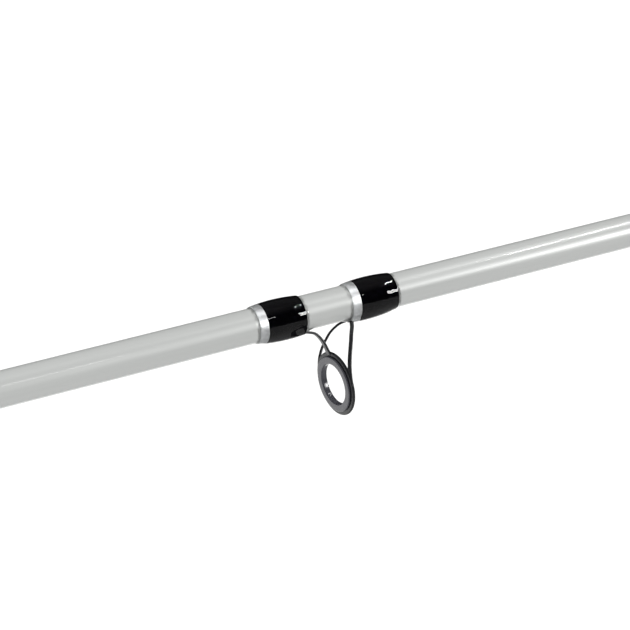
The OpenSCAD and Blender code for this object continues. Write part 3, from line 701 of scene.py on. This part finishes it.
# Ring drop that the legs' lines are drawn for, in mm
DRAWN_DROP = 21
CENTRE_LEG = [(-9.6, 0, -0.42), (-7.8, 0, -0.7), (-6.5, 0, -1.1), (-4.6, 0, -1.9), (-3.1, 0, -3.7), (-1.9, 0, -6.1),
              (-1, 0, -9), (-0.5, 0, -10.8)]
SIDE_LEG = [(9.6, 0.8, -0.42), (8.2, 2.9, -0.95), (7, 4.9, -1.9), (5.2, 6.9, -3.9), (4, 8.1, -5.9), (2.4, 9.4, -8.9),
            (1.2, 10.1, -11.9), (0.5, 10.4, -14.5), (0.1, 10.6, -17.5), (0, 10.5, -20.5)]


class Guide:
    """Where a guide is and how big it is, all in mm."""

    def __init__(self, number):
        g = guide()
        self.size = g.sizes[number - 1]
        self.k = self.size / 20
        handle_end = box_mm("winding_check")[1].x
        self.x = mix(handle_end, rod().rod, g.shares[number - 1])
        self.r = blank_r(self.x)
        self.body = HANDLE if number < 3 else TIP
        self.turn = g.first_turn if number == 1 else 0.0
        self.place = (Matrix.Translation((self.x, 0, -self.r - g.ring_drop * self.k))
                      @ Matrix.Rotation(self.turn, 4, "Z") @ Matrix.Rotation(-g.ring_lean, 4, "Y"))

    def span(self, side):
        g, k = guide(), self.k
        start = (self.x - (g.heel_reach + g.heel_bare + g.black_l + g.trim_l) * k if side < 0
                 else self.x + (g.heel_reach + g.heel_bare) * k)
        return start, start + g.trim_l * k, start + (g.trim_l + g.black_l) * k

    def foot(self, side):
        g, k = guide(), self.k
        return (self.x + side * g.heel_reach * k, self.x + side * (g.heel_reach + g.foot_l) * k, g.foot_w * k,
                g.foot_t * k)

    def path(self, leg, side=1):
        stretch, askew = guide().ring_drop / DRAWN_DROP, side * tan(self.turn)
        return curve([(self.x + (x - askew * y) * self.k, side * y * self.k, z * stretch * self.k - self.r)
                      for x, y, z in leg], 8)


def rim_rings(size, k, g):
    """Closed outline of the frame's rim, eased on its outer edges."""
    half, inner, outer = g.frame_t / 2 * k, size / 2 - g.flange_step * k, size / 2 + g.frame_rim * k
    ease = 0.42 * g.frame_t * k
    rings = [(-half, inner), (-half, mix(inner, outer, 0.5))]
    rings += arc(ease - half, outer - ease, ease, 180, 90, -15) + arc(half - ease, outer - ease, ease, 90, 0, -15)
    return rings + [(half, mix(inner, outer, 0.5)), (half, inner)]


def ceramic_rings(size, k, g):
    """Closed outline of a ceramic ring: rounded bore, flange towards the butt, body pressed into the frame."""
    bore, flange = size / 2 - g.ring_wall * k, size / 2
    body = flange - g.flange_step * k
    front, back = -(g.frame_t / 2 + g.flange_t) * k, (g.frame_t / 2 + g.back_lip) * k
    lip, edge = g.ring_lip * k, 0.3 * k
    rings = arc(front + lip, bore + lip, lip, 270, 180, -9) + [(front, flange - edge - 0.15 * k)]
    rings += arc(front + edge, flange - edge, edge, 165, 90, -15)
    rings += [(-g.frame_t / 2 * k - 0.25 * k, flange - 0.02 * k), (-g.frame_t / 2 * k - 0.04, flange - 0.22 * k),
              (-g.frame_t / 2 * k - 0.03, body - 0.02), (back - 0.2 * k, body - 0.02), (back, body - 0.3 * k)]
    return rings + arc(back - lip, bore + lip, lip, 0, -90, -9)


class ROD_OT_guide_frames(bpy.types.Operator):
    """Bends and coats each guide's frame: a rim, a centre leg to the butt foot and two legs to the tip foot"""
    bl_idname = "boat_rod.guide_frames"
    bl_label = "Guide frames"

    def execute(self, context):
        g = guide()
        for number in range(1, 6):
            made = Guide(number)
            k = made.k
            bm = bmesh.new()
            loft(bm, rim_rings(made.size, k, g), 96, True, made.place)
            t = g.leg_t * k

            def strip(w, flare):
                # Legs flare where they run into the rim
                return lambda s: rounded_section(w * k * (1 + flare * smooth_step(0.8, 1.0, s)), t, 0.42 * t)
            sweep(bm, made.path(CENTRE_LEG), strip(g.centre_w, 0.5), up_to_forward)
            for side in (-1, 1):
                def face(s, side=side):
                    # A side leg's strip twists outwards on its way from the foot to the rim
                    foot, middle, rim = Vector((0, 0, 1)), Vector((-0.75, 0.66 * side, 0)), Vector((-1, 0, 0))
                    return foot.lerp(middle, smooth_step(0.0, 0.45, s)).lerp(rim, smooth_step(0.72, 1.0, s))
                sweep(bm, made.path(SIDE_LEG, side), strip(g.leg_w, 0.2), face)
                heel, toe, width, thick = made.foot(side)
                outline = []
                for s in stations(0, 1, 12):
                    half = width / 2 * mix(1, 0.3, smooth_step(0.72, 1.0, s)) * (0.75 if s == 0 else 1)
                    outline.append((mix(heel, toe, s), half))
                outline += [(x, -y) for x, y in reversed(outline)]
                slab(bm, outline, lambda x, y: -made.r - mix(thick, 0.2 * thick, (x - heel) / (toe - heel)),
                     lambda x, y: -made.r + 0.25)
            voxel = max(0.17 * k, 0.1)
            frame_mesh = fuse(bm_mesh("guide_frame", bm), voxel, 4, 0.6)
            new_piece(f"guide_{number}.frame", frame_mesh, finish("frame"), made.body, (f"guide_{number}_frame",),
                      80)
        return {"FINISHED"}


class ROD_OT_guide_rings(bpy.types.Operator):
    """Presses a polished ceramic ring into each guide frame and into the tip ring's frame"""
    bl_idname = "boat_rod.guide_rings"
    bl_label = "Ceramic rings"

    def execute(self, context):
        g = guide()
        for number in range(1, 6):
            made = Guide(number)
            turned(f"guide_{number}.ceramic", (f"guide_{number}_ring",), ceramic_rings(made.size, made.k, g),
                   "ceramic", "ceramic_ring", made.body, 50, place=made.place, segments=128)
        size, place = tip_ring()
        turned("tip_top.ceramic", ("tip_top_ring",), ceramic_rings(size, size / 20, g), "ceramic", "ceramic_ring",
               TIP, 50, place=place, segments=96)
        return {"FINISHED"}


class ROD_OT_guide_bindings(bpy.types.Operator):
    """Binds each foot down with black thread, trims it in silver and coats it in clear epoxy"""
    bl_idname = "boat_rod.guide_bindings"
    bl_label = "Guide bindings"

    def execute(self, context):
        g = guide()
        for number in range(1, 6):
            made = Guide(number)
            binds, black, silver = [], [], []
            for side in (-1, 1):
                start, middle, end = made.span(side)
                bind = Binding(start, end, g.coat_run, g.coat_t, g.thread_t, made.foot(side))
                binds.append(bind)
                silver.append((bind, start, middle - 0.03, 10))
                black.append((bind, middle + 0.03, end, 30))
            name = f"guide_{number}"
            bound(name, binds, {"black_thread": black, "silver_thread": silver}, made.body,
                  {"black_thread": (f"{name}_thread",), "silver_thread": (f"{name}_trim",)}, f"{name}.epoxy",
                  (f"{name}_coat",))
        return {"FINISHED"}


# Length of the silver trim at each end of a plain binding, in mm
TRIM_L = 2.2


class ROD_OT_plain_bindings(bpy.types.Operator):
    """Binds and coats the blank at both sides of the spigot joint and behind the tip ring"""
    bl_idname = "boat_rod.plain_bindings"
    bl_label = "Joint and tip bindings"

    def execute(self, context):
        g = guide()
        for name, node, coat_node, body, run, coat in (
                ("joint.butt", "joint_binding_butt", "joint_coat_butt", HANDLE, g.coat_run, g.coat_t),
                ("joint.tip", "joint_binding_tip", "joint_coat_tip", TIP, g.coat_run, g.coat_t),
                ("tip_top", "tip_top_binding", "tip_top_coat", TIP, 0.9, 0.7 * g.coat_t)):
            low, high = box_mm(node)
            bind = Binding(low.x, high.x, run, coat, g.thread_t)
            trim_start, trim_end = low.x + TRIM_L, high.x - TRIM_L
            spans = {"black_thread": [(bind, trim_start, trim_end, 16)],
                     "silver_thread": [(bind, low.x, trim_start - 0.04, 4), (bind, trim_end + 0.04, high.x, 4)]}
            nodes = {"black_thread": (node,), "silver_thread": ()}
            bound(name, [bind], spans, body, nodes, f"{name}.epoxy", (coat_node,))
        return {"FINISHED"}


def tip_ring():
    """Size and place of the tip ring."""
    low, high = box_mm("tip_top_ring")
    g, size = guide(), high.y - low.y
    mid = size / 20 * (g.back_lip - g.flange_t) / 2
    return size, Matrix.Translation(((low.x + high.x) / 2 - mid, 0, (low.z + high.z) / 2))


class ROD_OT_tip_top(bpy.types.Operator):
    """Builds the tip ring's frame: a tube over the tip, two braces, a gusset and a rim"""
    bl_idname = "boat_rod.tip_top"
    bl_label = "Tip ring frame"

    def execute(self, context):
        size, place = tip_ring()
        rod_end = place.translation.x
        start, end = box_mm("tip_top_frame")[0].x, box_mm("tip_blank")[1].x
        outer = blank_r(end) + 0.55
        bm = bmesh.new()
        tube = [(start, outer - 0.25), (start + 0.2, outer), (end + 0.6, outer), (end + 1.3, outer - 0.35),
                (end + 1.6, outer - 1.0), (end + 1.6, 0.4), (end + 0.3, 0.4), (end + 0.2, blank_r(end) - 0.05),
                (start, blank_r(start) + 0.02)]
        loft(bm, tube, 64, True)
        loft(bm, rim_rings(size, size / 20, guide()), 72, True, place)
        brace = [(start + 3, 2.9, -0.2), (end - 3, 3.7, -1), (end + 3, 5, -4), (rod_end - 1.2, 5.7, -6.6),
                 (rod_end, 5.75, -8)]
        for side in (-1, 1):
            path = curve([(x, side * y, z) for x, y, z in brace], 8)
            sweep(bm, path, rounded_section(1.1, 0.8, 0.34), up_to_forward)
        gusset = curve([(end + 0.2, 0, 1.2), (end + 2.4, 0, 0.9), (rod_end - 0.4, 0, -0.7)], 8)
        sweep(bm, gusset, rounded_section(1.6, 0.9, 0.36), up_to_forward)
        new_piece("tip_top.frame", fuse(bm_mesh("tip_top", bm), 0.13, 3, 0.5), finish("frame"), TIP,
                  ("tip_top_frame",), 80)
        return {"FINISHED"}


# ---------------------------------------------------------------- handle


# Radius of the bore through the grips and the collar, in mm
GRIP_BORE = 6.6


class ROD_OT_grips(bpy.types.Operator):
    """Builds the butt cap, the foam grips, the collar and the winding check"""
    bl_idname = "boat_rod.grips"
    bl_label = "Grips and metal trim"

    def execute(self, context):
        h = handle()
        low, high = box_mm("butt_cap")
        cap_r, edge = h.cap_d / 2, 4.0
        cap_l, neck = high.x, cap_r - 2.3

        def ribbed(x):
            # Three shallow grip grooves round the cap
            grooves = (cap_l - 6, cap_l - 10, cap_l - 14)
            return cap_r - sum(0.5 * max(0.0, 1 - ((x - at) / 0.9) ** 2) for at in grooves)
        rings = [(0, 2), (0, cap_r - edge)] + arc(edge, cap_r - edge, edge, 170, 90, -10)
        rings += [(x, ribbed(x)) for x in stations(edge + 1, cap_l - 0.9, 80)]
        rings += [(cap_l - 0.5, cap_r - 0.15), (cap_l - 0.15, cap_r - 0.5), (cap_l, cap_r - 0.9), (cap_l, neck),
                  (cap_l - 3, neck)]
        turned("handle.butt_cap", ("butt_cap",), rings, "rubber", "rubber_cap", closed=False)

        low, high = box_mm("rear_grip")
        end = high.x

        def rear(s):
            a, b, c = cap_r - 0.9, h.waist_d / 2, h.shoulder_d / 2
            if s < 0.62:
                return mix(a, b, (1 - cos(pi * s / 0.62)) / 2)
            return mix(b, c, (1 - cos(pi * (s - 0.62) / 0.38)) / 2)
        rings = [(low.x, GRIP_BORE), (low.x, neck), (cap_l + 0.02, neck), (cap_l + 0.02, rear(0) - 0.4)]
        rings += [(mix(cap_l, end, s), rear(s)) for s in stations(0.004, 0.992, 90)]
        rings += [(end - 0.3, rear(1) - 0.35), (end, rear(1) - 0.8), (end, GRIP_BORE)]
        turned("handle.rear_grip", ("rear_grip",), rings, "foam", "eva_foam")

        low, high = box_mm("rear_collar")
        r = h.shoulder_d / 2 - 0.7
        rings = [(low.x, GRIP_BORE)]
        rings += [(low.x + x, r - down) for x, down in ((0, 0.5), (0.15, 0.15), (0.5, 0), (1.5, 0), (1.8, 0.3),
                                                        (2.1, 0.3), (2.4, 0))]
        rings += [(high.x - 0.5, r), (high.x - 0.15, r - 0.15), (high.x, r - 0.5), (high.x, GRIP_BORE)]
        turned("handle.rear_collar", ("rear_collar",), rings, "aluminium", "polished_aluminium")

        low, high = box_mm("fore_grip")
        start, end, fore, nose = low.x, high.x, h.fore_d / 2, h.nose_d / 2
        rings = [(start, GRIP_BORE), (start, fore - 1.2), (start + 0.5, fore - 0.4), (start + 1.5, fore)]
        rings += [(mix(start, end, s), mix(fore, nose, s ** 1.7) - 0.9 * sin(pi * s))
                  for s in stations(0.05, 0.985, 60)]
        rings += [(end - 0.3, nose - 0.3), (end, nose - 0.8), (end, 6.5)]
        turned("handle.fore_grip", ("fore_grip",), rings, "foam", "eva_foam")

        low, high = box_mm("winding_check")
        x, base, nose = low.x, h.nose_d / 2 - 0.9, blank_r(high.x) + 0.9
        rings = [(x, blank_r(x) + 0.05), (x, base - 0.2), (x + 0.2, base), (x + 1.4, base), (x + 1.6, base - 0.2),
                 (x + 1.9, base - 0.55), (x + 2.2, base - 0.7)]
        rings += [(mix(x + 2.2, high.x - 0.3, s), mix(base - 0.7, nose, s ** 0.75)) for s in stations(0.1, 1, 10)]
        rings += [(high.x, nose - 0.3), (high.x, blank_r(high.x) + 0.05)]
        turned("handle.winding_check", ("winding_check",), rings, "aluminium", "polished_aluminium")
        return {"FINISHED"}


# Length of the seat barrel's thread and of the plain end past it, and each hood's length, in mm
THREAD_L, THREAD_TAIL, HOOD_L = 46, 2, 22.0


class ROD_OT_reel_seat(bpy.types.Operator):
    """Builds the threaded seat barrel with its landing and keyway, the hoods, their cushions and the lock nut"""
    bl_idname = "boat_rod.reel_seat"
    bl_label = "Reel seat"

    def execute(self, context):
        h = handle()
        start, end = (corner.x for corner in box_mm("seat_barrel"))
        thread_a, thread_b = end - THREAD_TAIL - THREAD_L, end - THREAD_TAIL
        r = h.seat_d / 2
        landing = r - h.landing
        fixed_high = box_mm("fixed_hood")[1].x

        def barrel_radius(x):
            def at(a):
                radius = r
                if thread_a < x < thread_b:
                    phase = ((x - thread_a) / h.pitch + a / tau) % 1.0
                    # A trapezoid thread: crest, flank, root, flank
                    depth = smooth_step(0.0, 0.22, phase) * (1 - smooth_step(0.5, 0.72, phase))
                    fade = smooth_step(thread_a, thread_a + 2, x) * (1 - smooth_step(thread_b - 1, thread_b, x))
                    radius -= h.thread_depth * depth * fade
                lean = abs((a + pi) % tau - pi)
                if x < thread_a and lean < radians(60):
                    radius = min(radius, landing / cos(lean))
                if x > fixed_high + 8:
                    top = pi - lean
                    across = r * sin(top)
                    if top < 1 and across < 1.5:
                        radius = min(radius, r - 1.0)
                return radius
            return at
        xs = (stations(start, thread_a - 0.05, 40) + stations(thread_a, thread_b, THREAD_L * 8)
              + stations(thread_b + 0.1, end, 3))
        rings = [(start, 8.5)] + [(x, barrel_radius(x)) for x in xs] + [(end, 8.5)]
        turned("seat.barrel", ("seat_barrel",), rings, "nylon", "graphite_barrel", sharp=30, segments=240)

        axis_d = landing - 2.2
        mouth = h.pocket + 2.2
        back = mouth - 2.4
        wall = h.hood_wall
        hood_r, end_wall = r + wall, 2.0

        def off_centre(radius, a):
            """Reach to a circle whose centre is axis_d below the rod's axis."""
            inside = radius * radius - (axis_d * sin(a)) ** 2
            return axis_d * cos(a) + sqrt(inside) if inside > 0 else 0.0

        def soft_max(a, b, blend):
            top = max(a, b)
            return top + blend * max(0.0, 1 - abs(a - b) / (3 * blend)) ** 2 / 3

        def pocket(x, inset=0.0):
            return back + (mouth - back) * x / HOOD_L - inset

        def hood_rings(bore):
            def outer(x, shrink):
                return lambda a: soft_max(hood_r - shrink, off_centre(pocket(x) + wall - shrink, a), 0.8)

            def inner(x):
                return lambda a: max(bore, off_centre(pocket(x), a))
            out = [(0, bore), (0, outer(0, 0.7)), (0.2, outer(0.2, 0.2)), (0.6, outer(0.6, 0))]
            out += [(x, outer(x, 0)) for x in stations(1.2, HOOD_L - 2.2, 12)]
            # The mouth's edge is rounded over
            out += [(HOOD_L - 1.8, outer(HOOD_L - 1.8, 0)), (HOOD_L - 0.5, outer(HOOD_L - 0.5, 0)),
                    (HOOD_L - 0.12, outer(HOOD_L, 0.15)), (HOOD_L, outer(HOOD_L, 0.45)), (HOOD_L, outer(HOOD_L, 1.1)),
                    (HOOD_L - 0.1, inner(HOOD_L))]
            out += [(x, inner(x)) for x in reversed(stations(end_wall + 0.05, HOOD_L - 0.5, 10))]
            return out + [(end_wall, bore)]

        for node, body, bore in (("fixed_hood", HANDLE, r + 0.02), ("moving_hood", HOOD, r + 0.08)):
            low, high = box_mm(node)
            place = Matrix.Translation((low.x, 0, 0))
            if node == "moving_hood":
                place = Matrix.Translation((high.x, 0, 0)) @ Matrix.Scale(-1, 4, (1, 0, 0))
            turned(f"seat.{node}", (node,), hood_rings(bore), "stainless", "stainless_hood", body, 40, segments=160,
                   place=place)
            bm = bmesh.new()
            half = radians(118)
            rows = []
            for x, inset in [(end_wall + 0.05, 0.03)] + [(x, 0.03) for x in stations(4, HOOD_L - 0.9, 8)] \
                    + [(HOOD_L - 0.5, 0.25), (HOOD_L - 0.5, 0.6)] \
                    + [(x, 0.8) for x in reversed(stations(end_wall + 1.4, HOOD_L - 0.9, 8))]:
                row = []
                radius = pocket(x, inset)
                for j in range(41):
                    a = -half + 2 * half * j / 40
                    z = -axis_d - radius * cos(a)
                    row.append(bm.verts.new(place @ Vector((x, radius * sin(a), min(z, -landing - 0.05)))))
                rows.append(row)
            for low_row, high_row in zip(rows, rows[1:] + rows[:1]):
                for j in range(40):
                    bm.faces.new((low_row[j], high_row[j], high_row[j + 1], low_row[j + 1]))
            bm.faces.new([row[0] for row in rows])
            bm.faces.new([row[-1] for row in reversed(rows)])
            new_piece(f"seat.{node}_cushion", bm_mesh("cushion", bm), finish("rubber"), body, (f"{node}_pad",))

        low, high = box_mm("lock_nut")
        nut_r = (high.y - low.y) / 2
        nut_l = high.x - low.x
        bore = r + 0.08

        def nut_radius(x):
            def at(a):
                wave = 0.5 + 0.5 * cos(a * h.flutes)
                grip = smooth_step(2.2, 3.2, x) * (1 - smooth_step(nut_l - 0.8, nut_l, x) * 0.4)
                cone = max(0.0, (x - (nut_l - 2)) / 2) * 2
                return nut_r - cone - 0.75 * wave ** 2 * grip
            return at
        xs = [1.0, 1.6, 2.0, 2.3, 2.6, 2.9, 3.3] + stations(4, nut_l - 2, 12) + stations(nut_l - 1.7, nut_l - 0.3, 6)
        rings = [(0, bore), (0, nut_r - 0.8), (0.2, nut_r - 0.3), (0.6, nut_r - 0.05)]
        rings += [(x, nut_radius(x)) for x in xs] + [(nut_l, nut_r - 2.4), (nut_l, bore)]
        turned("seat.lock_nut", ("lock_nut",), rings, "nylon", "nut_plastic", NUT, 40, segments=240,
               place=Matrix.Translation((low.x, 0, 0)))

        arbors = frame["nodes"]["seat_arbors"].data.materials
        arbors.clear()
        arbors.append(finish("arbor"))
        return {"FINISHED"}


class ROD_OT_hook_keeper(bpy.types.Operator):
    """Builds the folding hook keeper with its bindings and clear coat"""
    bl_idname = "boat_rod.hook_keeper"
    bl_label = "Hook keeper"

    def execute(self, context):
        g = guide()
        low, high = box_mm("keeper_base")
        x = (low.x + high.x) / 2
        r = blank_r(x)
        loop_low, loop_high = box_mm("keeper_loop")
        wire = 0.65
        pivot_z = loop_high.z - wire
        tube_r = 1.28
        half_l = (high.x - low.x) / 2
        bm = bmesh.new()
        outline = []
        for s in stations(-1, 1, 24):
            outline.append((x + s * half_l, 1.3 * (1 - 0.45 * smooth_step(0.75, 1, abs(s)))))
        outline += [(px, -py) for px, py in reversed(outline)]
        slab(bm, outline, lambda px, py: -r - mix(0.7, 0.25, smooth_step(0.3, 1, abs(px - x) / half_l)),
             lambda px, py: -r + 0.2)
        turn = Matrix.Translation((x, 0, pivot_z)) @ Matrix.Rotation(pi / 2, 4, "Z")
        tube = [(-2.4, 0.74), (-2.4, tube_r - 0.1), (-2.3, tube_r), (2.3, tube_r), (2.4, tube_r - 0.1), (2.4, 0.74)]
        loft(bm, tube, 40, True, turn)
        base = fuse(bm_mesh("keeper", bm), 0.11, 2, 0.5)
        new_piece("keeper.base", base, finish("frame"), HANDLE, ("keeper_base",), 80)

        half = (loop_high.y - loop_low.y) / 2 - wire
        bow = loop_high.z - loop_low.z - 2 * wire - half
        corner = 0.5
        path = [Vector((0, y, 0)) for y in stations(-half + corner, half - corner, 8)]
        path += [Vector((0, half - corner + corner * sin(radians(a)), -corner + corner * cos(radians(a))))
                 for a in (22, 45, 67, 90)]
        path += [Vector((0, half, -z)) for z in stations(1.2, bow, 5)]
        path += [Vector((0, half * cos(radians(a)), -bow - half * sin(radians(a)))) for a in range(10, 180, 10)]
        path += [Vector((0, -half, -z)) for z in reversed(stations(1.2, bow, 5))]
        path += [Vector((0, -half + corner - corner * sin(radians(a)), -corner + corner * cos(radians(a))))
                 for a in (90, 67, 45, 22)]
        bm = bmesh.new()
        sweep(bm, [p + Vector((x, 0, pivot_z)) for p in path], round_section(wire * 0.97), (1, 0, 0), closed=True)
        new_piece("keeper.loop", bm_mesh("loop", bm), finish("frame"), KEEPER, ("keeper_loop",))

        binds, spans = [], []
        blow, bhigh = box_mm("keeper_binding")
        inner = tube_r + 0.8
        for side in (-1, 1):
            a, b = (blow.x, x - inner) if side < 0 else (x + inner, bhigh.x)
            foot = (x + side * inner * 0.8, x + side * half_l, 2.6, 0.7)
            bind = Binding(a, b, g.coat_run / 2, 0.6 * g.coat_t, g.thread_t, foot)
            binds.append(bind)
            spans.append((bind, a, b, 14))
        bound("keeper", binds, {"black_thread": spans}, HANDLE, {"black_thread": ("keeper_binding",)},
              "keeper.epoxy", ("keeper_coat",))
        return {"FINISHED"}


# ---------------------------------------------------------------- stage


class ROD_OT_stage(bpy.types.Operator):
    """Sets the pale floor, the soft lights and the camera"""
    bl_idname = "boat_rod.stage"
    bl_label = "Stage"

    def execute(self, context):
        scene = context.scene
        scene.view_settings.view_transform = "Standard"
        s = scene.rod_stage
        first = Guide(1)
        # The view aims at the blank a little on the tip side of the first guide
        target = Vector((first.x + 5.2, 0, 0)) * MM
        yaw, pitch, roll = s.yaw, s.pitch, s.roll
        forward = Vector((sin(yaw), cos(yaw) * cos(pitch), -cos(yaw) * sin(pitch)))
        right = Vector((cos(yaw), -sin(yaw) * cos(pitch), sin(yaw) * sin(pitch)))
        up = Vector((0, sin(pitch), cos(pitch)))
        right, up = right * cos(roll) - up * sin(roll), right * sin(roll) + up * cos(roll)
        # Where the target sits in the view, right and up from its middle
        across, above = 7.24 * MM, 3.55 * MM
        place = target - forward * s.distance - right * across - up * above
        camera = bpy.data.cameras.new("camera")
        camera.sensor_width = 36
        camera.lens = 36 * s.distance / s.frame_width
        camera.clip_start, camera.clip_end = 0.05, 200
        eye = bpy.data.objects.new("camera", camera)
        eye.matrix_world = Matrix.Translation(place) @ Matrix((right, up, -forward)).transposed().to_4x4()
        scene.collection.objects.link(eye)
        scene.camera = eye

        floor_z, front = -0.45, 0.4
        bm = bmesh.new()
        bm.faces.new([bm.verts.new((x, y, floor_z)) for x, y in ((-40, front), (40, front), (40, 40), (-40, 40))])
        m, tree, shader = surface("pale_studio_floor", linear("#F4F4F3"), 0.0, 0.9)
        tint(tree, shader, noise(tree, 0.6, place_coords(tree, (1, 1, 1)), 2.0), linear("#F3F3F2"), linear("#F7F7F6"))
        floor = bpy.data.objects.new("floor", bm_mesh("floor", bm))
        floor.data.materials.append(m)
        scene.collection.objects.link(floor)

        # An even white dome, which shiny things see as a dark room with a faint ceiling and a pale floor
        world = bpy.data.worlds.new("studio")
        world.use_nodes = True
        tree = world.node_tree
        where = add_node(tree, "ShaderNodeTexCoord")
        split = add_node(tree, "ShaderNodeSeparateXYZ", {}, {"Vector": where.outputs["Generated"]})
        ceiling = map_range(tree, split.outputs["Z"], 0.5, 0.85, 0.01, 0.14)
        ground = map_range(tree, split.outputs["Z"], -0.48, -0.4, 0.42, 0.0)
        room = add_node(tree, "ShaderNodeMath", {"operation": "ADD"}, {0: ceiling, 1: ground})
        ray = add_node(tree, "ShaderNodeLightPath")
        level = add_node(tree, "ShaderNodeMix", {"data_type": "FLOAT"}, {0: ray.outputs["Is Glossy Ray"],
                         3: room.outputs[0]})
        level.inputs[2].default_value = s.dome
        tree.nodes["Background"].inputs["Color"].default_value = (1, 1, 1, 1)
        tree.links.new(level.outputs[0], tree.nodes["Background"].inputs["Strength"])
        scene.world = world

        for name, kind, offset, size, power, shiny in (
                ("sun", "SUN", (0.3, -0.5, 1.4), (0.5, 0), 0.85, False),
                ("window", "AREA", (0.95, -1.02, 0.11), (0.5, 0.4), 13.0, True),
                ("lamp", "AREA", (0.308, -1.18, 0.583), (0.14, 0.1), 0.3, True)):
            lamp = bpy.data.lights.new(name, kind)
            lamp.energy = power
            if kind == "SUN":
                lamp.angle = size[0]
            else:
                lamp.shape, lamp.size, lamp.size_y = "RECTANGLE", *size
            holder = bpy.data.objects.new(name, lamp)
            holder.location = target + Vector(offset)
            holder.rotation_euler = (-Vector(offset)).to_track_quat("-Z", "Y").to_euler()
            # The sun lights, and the others are only seen in the gloss
            holder.visible_camera = False
            holder.visible_glossy, holder.visible_diffuse = shiny, not shiny
            scene.collection.objects.link(holder)
        # A thin tube overhead on the tip side
        ends = Vector((0.488, -0.49, 0.722)), Vector((0.612, -0.2, 0.765))
        middle, along = (ends[0] + ends[1]) / 2, (ends[1] - ends[0])
        lamp = bpy.data.lights.new("tube", "AREA")
        lamp.shape, lamp.size, lamp.size_y, lamp.energy = "RECTANGLE", along.length, 0.016, 1.2
        holder = bpy.data.objects.new("tube", lamp)
        side = along.normalized()
        back = (middle - middle.dot(side) * side).normalized()
        holder.matrix_world = (Matrix.Translation(target + middle)
                               @ Matrix((side, back.cross(side), back)).transposed().to_4x4())
        holder.visible_camera, holder.visible_diffuse = False, False
        scene.collection.objects.link(holder)
        return {"FINISHED"}


class ROD_PT_panel(bpy.types.Panel):
    """Lists the sizes, the finishes and the buttons that build the rod"""
    bl_idname = "ROD_PT_panel"
    bl_label = "Boat rod"
    bl_space_type = "VIEW_3D"
    bl_region_type = "UI"
    bl_category = "Boat rod"

    def draw(self, context):
        for group, kind in GROUPS.items():
            block = self.layout.box()
            block.label(text=kind.__doc__)
            for name in kind.__annotations__:
                block.prop(getattr(context.scene, group), name)
        for kind in OPERATORS:
            self.layout.operator(kind.bl_idname)


OPERATORS = (ROD_OT_blank, ROD_OT_guide_frames, ROD_OT_guide_rings, ROD_OT_guide_bindings, ROD_OT_plain_bindings,
             ROD_OT_tip_top, ROD_OT_grips, ROD_OT_reel_seat, ROD_OT_hook_keeper, ROD_OT_stage)
CLASSES = (*GROUPS.values(), *OPERATORS, ROD_PT_panel)


def register():
    for kind in CLASSES:
        bpy.utils.register_class(kind)
    for name, kind in GROUPS.items():
        setattr(bpy.types.Scene, name, PointerProperty(type=kind))


def unregister():
    for name in GROUPS:
        delattr(bpy.types.Scene, name)
    for kind in reversed(CLASSES):
        bpy.utils.unregister_class(kind)


def main():
    register()
    for kind in OPERATORS:
        area, action = kind.bl_idname.split(".")
        getattr(getattr(bpy.ops, area), action)()


if __name__ == "__main__":
    main()
